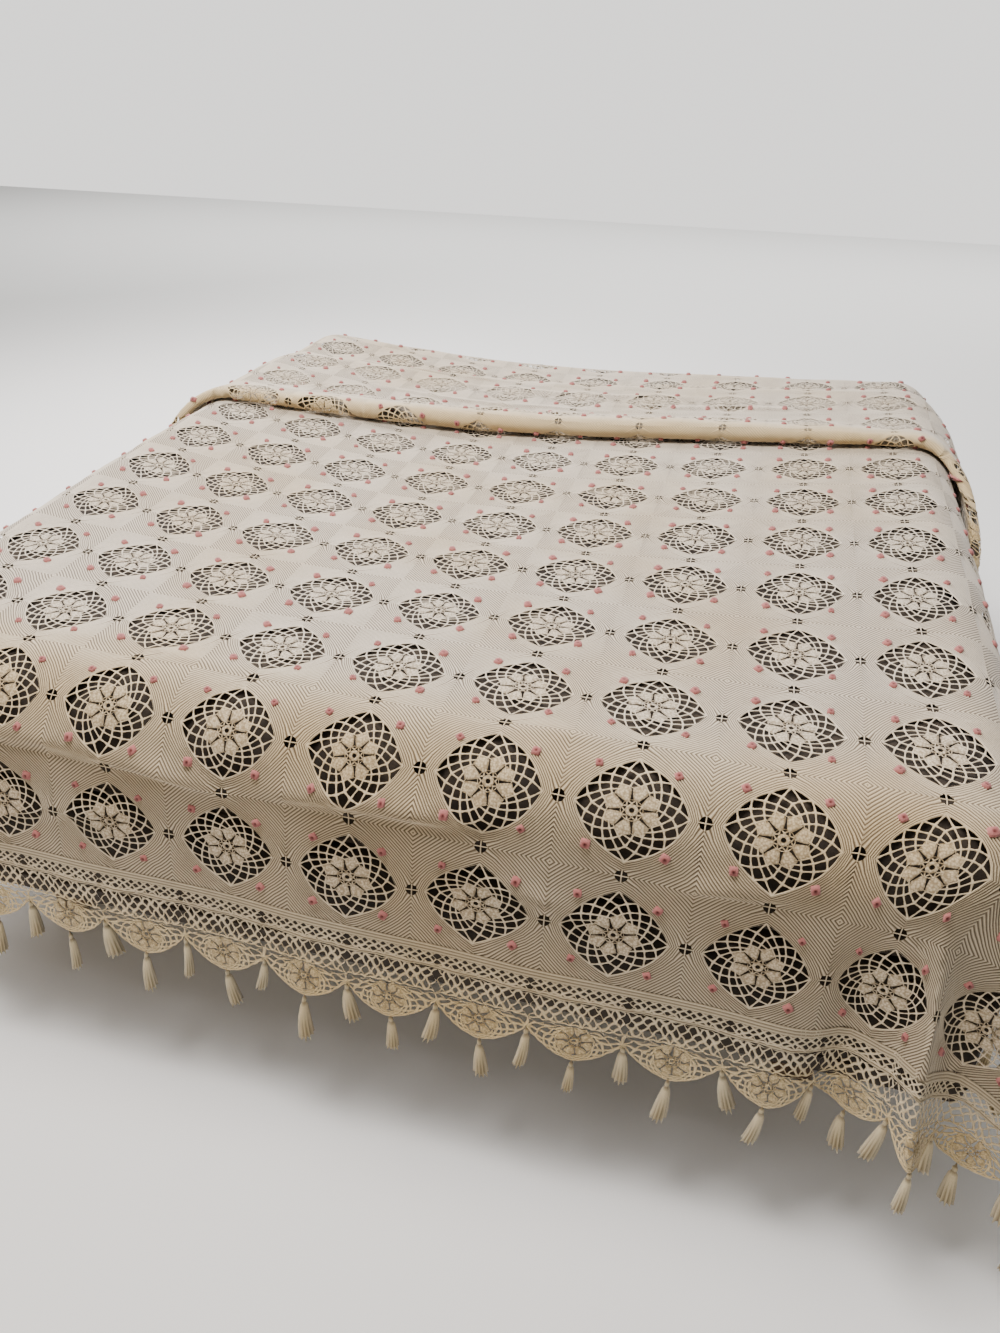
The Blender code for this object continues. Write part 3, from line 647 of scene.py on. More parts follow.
def add_ground(bm, rows_per_rib, columns):
    """The solid ribbed ground between the medallion and the square's sides."""
    rows = int(RIBS * rows_per_rib)

    def place(row, column):
        k = row * RIBS
        u, v = rib_point(k - RIB_TUCK if row == 0 else k, column)
        high = RIDGE_HIGH if round(row * rows) % 2 else VALLEY_HIGH
        return (u, v, high / HALF if rows_per_rib > 1 else 0.0)

    grid_of(bm, rows, columns, place)


def add_cross(bm):
    """Two of the four threads that cross in the round hole between two squares."""
    top, under = THREAD_HIGH / HALF, THREAD_LOW / HALF
    axis, seam = 1 - CROSS - CROSS_OVER, CROSS + CROSS_OVER
    points = {
        "middle": (1, 0, top),
        "axis": (axis, 0, top),
        "axis low": (axis, PLY, under),
        "inner": (1 - PLY, PLY, under),
        "seam": (1, seam, top),
        "seam low": (1 - PLY, seam, under),
    }
    verts = {name: bm.verts.new(spot) for name, spot in points.items()}
    for corners in (("axis", "middle", "inner", "axis low"), ("middle", "seam", "seam low", "inner")):
        bm.faces.new([verts[name] for name in corners])


def opened(bm, cells, thick, rounding, unit=HALF):
    """Turns cells into holes with threads between them: thread crests high, hole rims low."""
    for vert in bm.verts:
        vert.co.z = THREAD_HIGH / unit
    bmesh.ops.inset_individual(bm, faces=cells, thickness=thick, use_even_offset=True)
    rims = sorted({vert for cell in cells for vert in cell.verts}, key=lambda vert: vert.index)
    for vert in rims:
        vert.co.z = THREAD_LOW / unit
    if rounding:
        bmesh.ops.smooth_vert(bm, verts=rims, factor=rounding, use_axis_x=True, use_axis_y=True)
    bmesh.ops.delete(bm, geom=cells, context="FACES_ONLY")


def net_sector(bm, rings, count):
    """The staggered cells of one step round the medallion, on a plain circle."""
    step = 2 * pi / count
    verts = {}

    def at(turn, ring):
        key = (turn, ring)
        if key not in verts:
            angle, reach = turn * step, rings[ring]
            verts[key] = bm.verts.new((reach * cos(angle), reach * sin(angle), 0))
        return verts[key]

    bm.faces.new((at(0, 0), at(0.5, 0), at(1, 0), at(0.5, 1)))
    for ring in range(len(rings) - 2):
        turn = 0.5 * (ring % 2)
        sides = (at(turn + 0.5, ring + 1), at(turn - 0.5, ring + 1))
        bm.faces.new((at(turn, ring), sides[0], at(turn, ring + 2), sides[1]))
    spun(bm, count)
    bmesh.ops.remove_doubles(bm, verts=bm.verts, dist=MERGE)


def medallion_net(fine):
    """The round net of a medallion, stretched to its four-cornered outline and slightly turned."""
    bm = bmesh.new()
    net_sector(bm, NET_RINGS, NET_CELLS)
    if fine:
        bmesh.ops.subdivide_edges(bm, edges=bm.edges[:], cuts=1)
    inner = NET_RINGS[-1]
    for vert in bm.verts:
        x, y, _ = vert.co
        ring = float(np.hypot(x, y))
        angle = float(np.arctan2(y, x))
        inward = max((1 - ring) / (1 - inner), 0.0)
        reach = float(outline_reach(angle)) * (1 - NET_EVEN * inward)
        reach += MEDALLION * NET_ROUND * NET_EVEN * inward
        turned = angle + TWIST * inward**3
        vert.co = (ring * reach * cos(turned), ring * reach * sin(turned), 0)
    opened(bm, bm.faces[:], THREAD, THREAD_ROUND if fine else 0.0)
    return bm


def petal(bm):
    """One raised petal along the u axis."""

    def place(across, along):
        reach = PETAL_STARTS + (PETAL_ENDS - PETAL_STARTS) * along
        wide = float(np.interp(along, PETAL_PLACES, PETAL_WIDTHS))
        side = 2 * across - 1
        rounded = PETAL_RIM + (1 - PETAL_RIM) * (1 - min(side * side, 1.0)) ** 0.5
        rounded *= FURROW if abs(side) < NEAR else 1.0
        high = PETAL_LOW + PETAL_HIGH * rounded * (PETAL_FLAT + (1 - PETAL_FLAT) * sin(pi * along))
        bowed = reach - PETAL_TIP * side**2 * max(along - TIP_STARTS, 0.0)
        return (bowed, side * wide, high / HALF)

    grid_of(bm, 4, 4, place)


def hub_point(turn, out):
    """A point of the raised ring round the hub's hole."""
    angle = -2 * pi * turn
    reach = HUB_HOLE + HUB_WIDE * out
    high = HUB_HIGH if abs(out - 0.5) < NEAR else HUB_LOW
    return (reach * cos(angle), reach * sin(angle), high / HALF)


def flower():
    """Eight petals round a small pierced hub."""
    bm = bmesh.new()
    petal(bm)
    spun(bm, PETALS)
    bmesh.ops.reverse_faces(bm, faces=[face for face in bm.faces if face.normal.z < 0])
    pierced = bmesh.new()
    net_sector(pierced, PIERCED_RING, PETALS)
    opened(pierced, pierced.faces[:], PIERCED_THREAD, 0.0)
    merge_into(bm, pierced)
    hub = bmesh.new()
    grid_of(hub, HUB_STEPS, 2, hub_point)
    bmesh.ops.remove_doubles(hub, verts=hub.verts, dist=MERGE)
    merge_into(bm, hub)
    bmesh.ops.rotate(bm, cent=(0, 0, 0), matrix=Matrix.Rotation(TWIST, 3, "Z"), verts=bm.verts)
    return bm


def merge_into(bm, other):
    """Moves another bmesh's shape into this one."""
    held = bpy.data.meshes.new("held")
    other.to_mesh(held)
    other.free()
    before = len(bm.verts)
    bm.from_mesh(held)
    bpy.data.meshes.remove(held)
    bm.verts.ensure_lookup_table()
    return bm.verts[before:]


def add_bloom(bm, rose):
    """Adds a flower and marks its points, so that its yarn looks knotted."""
    bloom = bm.verts.layers.float.new("bloom")
    for vert in merge_into(bm, rose):
        vert[bloom] = 1.0


def square(ribbed, fine):
    """One whole square, flat, in units of half a square."""
    bm = bmesh.new()
    add_ground(bm, 2 if ribbed else 0.5, 3)
    add_cross(bm)
    eightfold(bm)
    bmesh.ops.remove_doubles(bm, verts=bm.verts, dist=4 * MERGE)
    merge_into(bm, medallion_net(fine))
    add_bloom(bm, flower())
    return bm


# ---------------------------------------------------------------- laying the squares on the bed
BAKE_MAP = "OFBake"
BLOCK_COLUMNS = 7
STIR, STIR_WIDE = (12.9898, 78.233, 37.719), 43758.5453
# where painted warm shade lies on the cloth, how much, and how much lighter the painted rib shade is drawn on
# the roll
ROLL_SHADE_REACH, EDGE_SHADE_REACH = 0.060, 0.120
EDGE_AMOUNT, DROP_AMOUNT = 0.35, 0.40
ROLL_SHADE_LIFT = 0.0011
# hand work: how much a medallion and its flower are turned, resized, stretched and moved
HAND_STARTS, HAND_CORE, HAND_CORE_ENDS = 0.55, 0.30, 0.60
HAND_TURN, HAND_CORE_TURN, HAND_SIZE = 0.06, 0.16, 0.035
HAND_STRETCH, HAND_UNEVEN, HAND_FIRST_ROW, HAND_MOVE = 0.02, 0.025, 0.035, 0.02


def tile_number(across, along):
    """The column and row of the square that a flat place is in."""
    column = np.clip(np.floor(across / TILE + TILES_ACROSS / 2), 0, TILES_ACROSS - 1)
    row = np.clip(np.floor(along / TILE), 0, TILES_ALONG - 1)
    return column.astype(int), row.astype(int)


def uneven(column, row, which):
    """A number from -1 to 1 that differs from square to square and stays the same each run."""
    stirred = np.sin(column * STIR[0] + row * STIR[1] + which * STIR[2]) * STIR_WIDE
    return 2 * (stirred - np.floor(stirred)) - 1


def handmade(across, along):
    """Flat places with each medallion a little turned, moved and resized, as hand work is."""
    column, row = tile_number(across, along)
    u = (across - (column - (TILES_ACROSS - 1) / 2) * TILE) / HALF
    v = (along - (row + 0.5) * TILE) / HALF
    reach = np.maximum(np.abs(u), np.abs(v))
    inside = 1 - ease(reach, HAND_STARTS, 1.0)
    core = 1 - ease(np.hypot(u, v), HAND_CORE, HAND_CORE_ENDS)
    odd = [uneven(column, row, which) for which in range(7)]
    turn = inside * HAND_TURN * odd[1] + core * HAND_CORE_TURN * odd[2]
    grow = 1 + inside * HAND_SIZE * odd[3]
    first = np.where(row == 0, HAND_FIRST_ROW, 0.0)
    stretch = inside * (HAND_STRETCH + HAND_UNEVEN * odd[4] + first)
    nu = grow * (1 + stretch) * (u * np.cos(turn) - v * np.sin(turn)) + inside * HAND_MOVE * odd[5]
    nv = grow * (1 - stretch) * (u * np.sin(turn) + v * np.cos(turn)) + inside * HAND_MOVE * odd[6]
    return across + (nu - u) * HALF, along + (nv - v) * HALF


def as_mesh(name, bm, scale=1.0):
    """A mesh from a finished bmesh."""
    mesh = bpy.data.meshes.new(name)
    bmesh.ops.scale(bm, vec=(scale, scale, scale), verts=bm.verts)
    bm.to_mesh(mesh)
    bm.free()
    return mesh


def repeated(name, unit, counts, steps, start):
    """The unit repeated in rows by Array modifiers, which are applied."""
    made = placed(name, unit)
    for count, step in zip(counts, steps):
        array = made.modifiers.new("repeat", "ARRAY")
        array.count = count
        array.use_relative_offset = False
        array.use_constant_offset = True
        array.constant_offset_displace = step
    graph = bpy.context.evaluated_depsgraph_get()
    mesh = bpy.data.meshes.new_from_object(made.evaluated_get(graph))
    made.modifiers.clear()
    made.data = mesh
    mesh.transform(Matrix.Translation(start))
    return made


def flat_points(mesh):
    spots = np.empty(len(mesh.vertices) * 3)
    mesh.vertices.foreach_get("co", spots)
    return spots.reshape(-1, 3)


def write_points(mesh, spots):
    mesh.vertices.foreach_set("co", spots.ravel())
    mesh.update()


def lay(mesh, across, along, raised):
    """Puts the points of a flat mesh where they lie on the bed."""
    write_points(mesh, hung(np.stack([across, along, raised], -1)))


def write_map(mesh, places):
    """The UV map named by BAKE_MAP, from one place for each point of the mesh."""
    layer = mesh.uv_layers.new(name=BAKE_MAP)
    corners = np.empty(len(mesh.loops), dtype=int)
    mesh.loops.foreach_get("vertex_index", corners)
    layer.data.foreach_set("uv", places[corners].ravel())


def in_blocks(number, across, up, per_block, blocks):
    """Lays numbered units side by side in stacked blocks that fill the unit square."""
    spots = ((number % per_block + across) / per_block, (number // per_block + up) / blocks)
    return np.stack(spots, -1)


def unit_numbers(mesh, count):
    """Which repeat of the unit each point belongs to."""
    return np.arange(len(mesh.vertices)) // (len(mesh.vertices) // count)


def write_share(mesh, name, values):
    """A number from 0 to 1 for each point, which the yarn's look reads."""
    layer = mesh.attributes.new(name, "FLOAT", "POINT")
    layer.data.foreach_set("value", np.clip(values, 0.0, 1.0))


def write_relief_shade(mesh, raised, low=VALLEY_HIGH, high=RELIEF_HIGH):
    write_share(mesh, "relief", (raised - low) / (high - low))


def on_roll(across, along):
    """From 0 to 1 towards the pleat's roll."""
    side, path = laid(across, along)
    return np.exp(-(((path - back_line(side) - PLEAT_DEEP) / ROLL_SHADE_REACH) ** 2))


def warm_shade_share(across, along):
    """Where painted warm shade lies: on the pleat's roll, over the bed's foot edge and on the drop."""
    path = laid(across, along)[1]
    rounded = EDGE_AMOUNT * np.exp(-(((path + EDGE_ROUND / 2) / EDGE_SHADE_REACH) ** 2))
    hanging = DROP_AMOUNT * ease(-path, -EDGE_SHADE_REACH, EDGE_SHADE_REACH)
    return on_roll(across, along) + rounded + hanging


def finish_piece(made, name, cover, slot):
    made.name = name
    made.data.name = name
    made.data.materials.clear()
    made.data.materials.append(cover)
    made.data.shade_smooth()
    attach(made, "root")
    return made


def over_squares(name, unit, first_row, rows):
    """The unit on every square of a band, still flat, with each point's square and place in it."""
    start = (-FLAT_HALF + HALF, (first_row + 0.5) * TILE, 0.0)
    made = repeated(name, unit, (TILES_ACROSS, rows), ((TILE, 0, 0), (0, TILE, 0)), start)
    flat = flat_points(made.data)
    number = unit_numbers(made.data, TILES_ACROSS * rows)
    column, row = number % TILES_ACROSS, number // TILES_ACROSS
    inside = (flat[:, :2] - np.array(start[:2])) / TILE + 0.5 - np.stack([column, row], -1)
    return made, flat, number, column, row, inside


def cloth_band(name, unit, first_row, rows, yarn):
    """A band of squares right across the spread, laid on the bed."""
    made, flat, _, column, row, inside = over_squares(name, unit, first_row, rows)
    block = column // BLOCK_COLUMNS
    stacked = (column % BLOCK_COLUMNS) + BLOCK_COLUMNS * (row + rows * block)
    write_map(made.data, in_blocks(stacked, *inside.T, BLOCK_COLUMNS, 2 * rows))
    across, along = handmade(flat[:, 0], flat[:, 1])
    # painted light and shade of the ribs, drawn lighter on the pleat's roll
    write_relief_shade(made.data, flat[:, 2] + ROLL_SHADE_LIFT * on_roll(across, along))
    # painted warm shade on the roll, over the foot edge and on the drop
    write_share(made.data, "warm_shade", warm_shade_share(across, along))
    lay(made.data, across, along, flat[:, 2])
    return finish_piece(made, name, yarn, "crochet")


# ---------------------------------------------------------------- one scallop of the lace border, flat
# the heading, the net, a band, the deep net, the fan round its flower, and the edging, from top to tip
HEADING, HEADING_OVER, HEADING_LAP = 0.003, 0.0115, 0.002
# the last of these draws the heading's crests darker, as painted shade
HEADING_HIGH, HEADING_LOW, HEADING_DIMMED = 0.0022, 0.0011, 0.0016
MESH_TOP, MESH_END, MESH_STEPS = 0.003, 0.028, 10
BAND_TOP, BAND_END, BAND_HIGH, BAND_LOW = 0.0265, 0.0345, 0.0010, -0.0006
DEEP_TOP, DEEP_END, DEEP_STEPS = 0.034, 0.078, 9
FAN_DEPTH, FAN_ROUND, FAN_STEPS = 0.108, 0.0275, 12
EDGING_WIDE, EDGING_SHARE, EDGING_STEPS = 0.0036, 0.22, 30
EDGING_HIGH, EDGING_LOW = 0.0011, -0.0004
PICOT, PICOTS = 0.0010, 26
BELLY = 0.0095
BLOCK_SCALLOPS = 5
LACE_THREAD, FAN_THREAD = 0.0018, 1.1
NET_SOFT, FAN_SOFT = 0.4, 0.3
FLOWER_OVER = 1.10
# painted warm shade, the sway of a loose scallop, and stray threads of the net
LACE_WARM_SHADE, LACE_WARM_SHADE_DEEPER = 0.40, 0.55
SWAY_ASIDE, SWAY_DOWN, STRAY = 0.0035, 0.03, 0.0017
STRAY_X, STRAY_Y = (293.0, 211.0), (337.0, -179.0)


def upright(bm):
    """Turns round the faces that look down."""
    bm.normal_update()
    bmesh.ops.reverse_faces(bm, faces=[face for face in bm.faces if face.normal.z < 0])


def diamonds(steps, place, thread, rounding):
    """Three staggered rows of diamond holes on a sheet; place(run, down) with both from 0 to 1."""
    bm = bmesh.new()
    levels = 4
    verts = {}

    def at(run, level):
        key = (run, level)
        if key not in verts:
            verts[key] = bm.verts.new(place(run / steps, level / levels))
        return verts[key]

    for k in range(steps):
        bm.faces.new((at(k, 0), at(k + 1, 0), at(k + 0.5, 1)))
        bm.faces.new((at(k + 0.5, 1), at(k + 1, 2), at(k + 0.5, 3), at(k, 2)))
        bm.faces.new((at(k + 0.5, 3), at(k + 1, 4), at(k, 4)))
    for k in range(steps + 1):
        for top in (0, 2):
            corners = [at(k, top), at(k, top + 2)]
            if k < steps:
                corners.insert(1, at(k + 0.5, top + 1))
            if k > 0:
                corners.append(at(k - 0.5, top + 1))
            if len(corners) == 4:
                bm.faces.new(corners)
    bmesh.ops.remove_doubles(bm, verts=bm.verts, dist=0.4 * MERGE)
    upright(bm)
    bmesh.ops.subdivide_edges(bm, edges=bm.edges[:], cuts=1)
    opened(bm, bm.faces[:], thread, rounding, 1.0)
    return bm


def ridged_strip(rows, columns, place, high, low):
    """A narrow solid strip with rows of stitches in relief."""
    bm = bmesh.new()

    def spot(down, run):
        x, y = place(run, down)[:2]
        return (x, y, high if round(down * rows) % 2 else low)

    grid_of(bm, rows, columns, spot)
    upright(bm)
    return bm


def scallop_edge(run, pitch):
    """A point of the scallop's edge: down from the mesh, out to the tip and back up."""
    valley, tip = (0.0, LACE_VALLEY), (pitch / 2, LACE_TIP)
    knots = np.array([(0.0, DEEP_END), valley, tip, (pitch, LACE_VALLEY), (pitch, DEEP_END)])
    lengths = np.linalg.norm(np.diff(knots, axis=0), axis=1)
    marks = np.concatenate([[0.0], np.cumsum(lengths)]) / lengths.sum()
    x, depth = (float(np.interp(run, marks, knots[:, axis])) for axis in (0, 1))
    belly = BELLY * sin(pi * abs(x - pitch / 2) / (pitch / 2)) if depth > LACE_VALLEY else 0.0
    return x, depth + belly


def scallop(pitch):
    """One scallop of the border, flat, in metres: x along the hem, y down to minus the depth."""

    def straight(top, end):
        return lambda run, down: (run * pitch, -(top + (end - top) * down), 0.0)

    def round_the_fan(run, down):
        x, depth = scallop_edge(run, pitch)
        angle = pi / 2 + 2 * pi * run
        inner = np.array([pitch / 2 + FAN_ROUND * cos(angle), FAN_ROUND * sin(angle) - FAN_DEPTH])
        spot = inner + (np.array([x, -depth]) - inner) * down
        return (*spot, 0.0)

    def along_edge(run, down):
        start = (LACE_VALLEY - DEEP_END) / EDGING_SHARE
        run = start + (1 - 2 * start) * run
        x, depth = scallop_edge(run, pitch)
        picot = PICOT * abs(sin(run * pi * PICOTS))
        return x, -(depth + picot * down + EDGING_WIDE * (down - 0.5))

    heading = straight(-HEADING_OVER, HEADING + HEADING_LAP)
    bm = ridged_strip(6, 6, heading, HEADING_HIGH, HEADING_LOW)
    merge_into(bm, diamonds(MESH_STEPS, straight(MESH_TOP, MESH_END), LACE_THREAD, NET_SOFT))
    merge_into(bm, ridged_strip(4, 6, straight(BAND_TOP, BAND_END), BAND_HIGH, BAND_LOW))
    merge_into(bm, diamonds(DEEP_STEPS, straight(DEEP_TOP, DEEP_END), LACE_THREAD, NET_SOFT))
    merge_into(bm, diamonds(FAN_STEPS, round_the_fan, LACE_THREAD * FAN_THREAD, FAN_SOFT))
    merge_into(bm, ridged_strip(2, EDGING_STEPS, along_edge, EDGING_HIGH, EDGING_LOW))
    rose = flower()
    reach = FAN_ROUND / PETAL_ENDS * FLOWER_OVER
    bmesh.ops.scale(rose, vec=(reach, reach, HALF), verts=rose.verts)
    bmesh.ops.translate(rose, vec=(pitch / 2, -FAN_DEPTH, 0.0), verts=rose.verts)
    add_bloom(bm, rose)
    return bm


def border_run(name, pitch, count, place, yarn):
    """A run of scallops along one hem; place(x, y) gives cloth coordinates."""
    unit = as_mesh("scallop", scallop(pitch))
    made = repeated(name, unit, (count,), ((pitch, 0, 0),), (0, 0, 0))
    flat = flat_points(made.data)
    depth = -flat[:, 1]
    number = unit_numbers(made.data, count)
    per_block = min(count, BLOCK_SCALLOPS)
    up = (flat[:, 1] + LACE_TIP + EDGING_WIDE) / (LACE_TIP + EDGING_WIDE + HEADING_OVER)
    blocks = -(-count // per_block)
    write_map(made.data, in_blocks(number, flat[:, 0] / pitch - number, up, per_block, blocks))
    # painted shade: the heading's raised threads are put lower on the shade scale and drawn darker
    on_heading = (flat[:, 2] > (THREAD_HIGH + HEADING_LOW) / 2) & (depth < MESH_TOP + HEADING)
    write_relief_shade(made.data, flat[:, 2] - np.where(on_heading, HEADING_DIMMED, 0.0))
    # painted warm shade on the lace, stronger towards the scallops' valleys
    write_share(made.data, "warm_shade", LACE_WARM_SHADE + LACE_WARM_SHADE_DEEPER * ease(depth, DEEP_TOP, LACE_VALLEY))
    k = np.floor(flat[:, 0] / pitch)
    swing = ease(depth, DEEP_TOP, DEEP_END) * np.sin(pi * (flat[:, 0] / pitch - k))
    netted = STRAY * ease(depth, MESH_TOP, BAND_TOP) * (1 - ease(depth, LACE_VALLEY, LACE_TIP))
    stray_x, stray_y = (netted * np.sin(flat[:, :2] @ np.array(turns)) for turns in (STRAY_X, STRAY_Y))
    x = flat[:, 0] + SWAY_ASIDE * swing * uneven(k, 3, 7) + stray_x
    y = flat[:, 1] * (1 + SWAY_DOWN * swing * uneven(k, 5, 8)) + stray_y
    across, along = place(x, y)
    lay(made.data, across, along, flat[:, 2])
    return finish_piece(made, name, yarn, "lace")


# where x along a hem and y outward (minus the depth) lie on the cloth, for each side and corner
def foot_place(x, y):
    return x - FLAT_HALF, y


def right_place(x, y):
    return FLAT_HALF - y, x


def left_place(x, y):
    return y - FLAT_HALF, FLAT_LONG - x


def right_corner_place(x, y):
    turn = x / CORNER_PITCH * pi / 2
    return FLAT_HALF - y * np.sin(turn), y * np.cos(turn)


def left_corner_place(x, y):
    turn = x / CORNER_PITCH * pi / 2
    return y * np.cos(turn) - FLAT_HALF, y * np.sin(turn)


CORNER_PITCH = 2 * FLAT_HALF / SCALLOPS_FOOT
# name, scallop pitch, count, where it lies
BORDER = (
    ("lace_foot", CORNER_PITCH, SCALLOPS_FOOT, foot_place),
    ("lace_right", FLAT_LONG / SCALLOPS_SIDE, SCALLOPS_SIDE, right_place),
    ("lace_left", FLAT_LONG / SCALLOPS_SIDE, SCALLOPS_SIDE, left_place),
    ("lace_corner_right", CORNER_PITCH, 1, right_corner_place),
    ("lace_corner_left", CORNER_PITCH, 1, left_corner_place),
)


# ---------------------------------------------------------------- tassels and bobbles
STRANDS = 10
RAGGED, RAGGED_TURNS, RAGGED_FURROW = 0.0032, 2.3, 1.2
TASSEL_FLAT = 0.8
FURROW_NECK, FURROW_SKIRT = 0.08, 0.30
SKIRT_STARTS, SKIRT_FULL = 0.018, 0.060
# the yarn's shade follows how far a point lies out from the middle for its depth
SHADE_NECK, SHADE_SPREAD, SHADE_LOW, SHADE_HIGH = 0.003, 0.115, 0.6, 1.2
# how much tassels differ in length, flare, lean and bend
TASSEL_SIZE, TASSEL_FLARE, TASSEL_BEND = 0.08, 0.18, 1.6
TASSEL_LEAN_ACROSS, TASSEL_LEAN_ALONG = 0.24, 0.12
FLARE_STARTS, FLARE_FULL = 0.01, 0.05
# how far a tassel's top overlaps the edging, and stays inside the border's ends
TIP_LAP, VALLEY_LAP, END_INSIDE = 0.002, 0.001, 0.003
# depth, reach
TASSEL_SHAPE = (
    (0.0000, 0.0012),
    (0.0050, 0.0018),
    (0.0085, 0.0040),
    (0.0125, 0.0044),
    (0.0160, 0.0036),
    (0.0240, 0.0072),
    (0.0420, 0.0100),
    (0.0610, 0.0120),
    (0.0760, 0.0130),
    (0.0840, 0.0134),
    (0.0830, 0.0090),
    (0.0780, 0.0005),
)
BOBBLE_ROUND, BOBBLE_HIGH = 0.0082, 0.0072
BOBBLE_SPOT = (0.55, 0.57)
LOBES, LOBE_DEEP, LOBE_FADE = 4, 0.26, 0.6
DIMPLE, POLE, BALL_CUT = 0.60, 0.95, -0.4
BOBBLE_SHADE_HEIGHT, BOBBLE_SHADE = 0.5, (0.45, 1.05)
BOBBLE_SIZE, BOBBLE_MOVE = 0.15, 0.0022
FACE_ORDER = Vector((1.0, 3.0, 9.0))


def tassel():
    """A tassel hanging from its top: loop, bound neck, and a skirt of strands in relief."""
    bm = bmesh.new()
    rows, columns = len(TASSEL_SHAPE) - 1, 2 * STRANDS

    def place(down, turn):
        row = round(down * rows)
        column = round(turn * columns)
        depth, reach = TASSEL_SHAPE[row]
        furrow = 1 - (FURROW_NECK + FURROW_SKIRT * ease(depth, SKIRT_STARTS, SKIRT_FULL)) * (column % 2)
        if row == rows - 2:
            depth += RAGGED * (sin(column * RAGGED_TURNS) - RAGGED_FURROW * (column % 2))
        angle = 2 * pi * turn
        return (reach * furrow * cos(angle), TASSEL_FLAT * reach * furrow * sin(angle), -depth)

    grid_of(bm, rows, columns, place)
    bmesh.ops.remove_doubles(bm, verts=bm.verts, dist=0.1 * MERGE)
    bmesh.ops.recalc_face_normals(bm, faces=bm.faces)
    return bm


def border_hangers():
    """Cloth points where tassels hang: every valley and every tip of the border."""
    spots = []
    for _, pitch, count, place in BORDER:
        for k in range(count):
            spots.append(place((k + 0.5) * pitch, TIP_LAP - LACE_TIP))
        for k in range(count + 1 if count > 1 else 0):
            x = min(max(k * pitch, END_INSIDE), count * pitch - END_INSIDE)
            spots.append(place(x, VALLEY_LAP - LACE_VALLEY))
    return np.array([[across, along, 0.0] for across, along in spots])


def tassel_row(yarn):
    """All the tassels, each a little turned, tilted, bent and resized."""
    spots = hung(border_hangers())
    made = repeated("tassels", as_mesh("tassel_unit", tassel()), (len(spots),), ((0, 0, 0),), (0, 0, 0))
    points = flat_points(made.data)
    number = unit_numbers(made.data, len(spots))
    depth = -points[:, 2]
    angle = np.arctan2(points[:, 1], points[:, 0])
    per_block = int(np.ceil(np.sqrt(len(spots))))
    down = depth / TASSEL_SHAPE[-3][0]
    write_map(made.data, in_blocks(number, 0.5 + angle / (2 * pi), 1 - down, per_block, per_block))
    out = np.hypot(points[:, 0], points[:, 1] / TASSEL_FLAT) / (SHADE_NECK + SHADE_SPREAD * depth)
    write_relief_shade(made.data, out, SHADE_LOW, SHADE_HIGH)
    odd = {which: uneven(number, 0, which) for which in range(11, 18)}
    size = 1 + TASSEL_SIZE * odd[11]
    flare = 1 + TASSEL_FLARE * odd[12] * ease(depth, FLARE_STARTS, FLARE_FULL)
    turn = pi * odd[13]
    lean_x = TASSEL_LEAN_ACROSS * odd[14] * np.abs(odd[17])
    lean_y = TASSEL_LEAN_ALONG * odd[15]
    x, y = points[:, 0] * flare, points[:, 1] * flare
    hung_x = (x * np.cos(turn) - y * np.sin(turn)) + depth * lean_x + TASSEL_BEND * odd[16] * depth**2
    hung_y = (x * np.sin(turn) + y * np.cos(turn)) + depth * lean_y
    write_points(made.data, np.stack([hung_x, hung_y, -depth * size], -1) + spots[number])
    return finish_piece(made, "tassels_yarn", yarn, "tassel_yarn")


def bobbles_unit():
    """Four knobbly bobbles round one square's medallion, flat."""
    bm = bmesh.new()
    for hand_u in (-1, 1):
        for hand_v in (-1, 1):
            ball = bmesh.new()
            bmesh.ops.create_uvsphere(ball, u_segments=2 * LOBES, v_segments=5, radius=1.0)
            low_faces = [face for face in ball.faces if face.calc_center_median().z < BALL_CUT]
            bmesh.ops.delete(ball, geom=low_faces, context="FACES")
            # a new sphere's faces come in another order each run
            ball.faces.sort(key=lambda face: face.calc_center_median().dot(FACE_ORDER))
            for vert in ball.verts:
                x, y, z = vert.co
                column = round(float(np.arctan2(y, x)) / (pi / LOBES))
                lobe = 1.0 - LOBE_DEEP * (column % 2) * (1 - LOBE_FADE * abs(z))
                z -= DIMPLE if z > POLE else 0.0
                vert.co = (x * lobe * BOBBLE_ROUND, y * lobe * BOBBLE_ROUND, z * BOBBLE_HIGH)
            middle = (hand_u * BOBBLE_SPOT[0] * HALF, hand_v * BOBBLE_SPOT[1] * HALF, 0.0)
            bmesh.ops.translate(ball, vec=middle, verts=ball.verts)
            merge_into(bm, ball)
    return bm


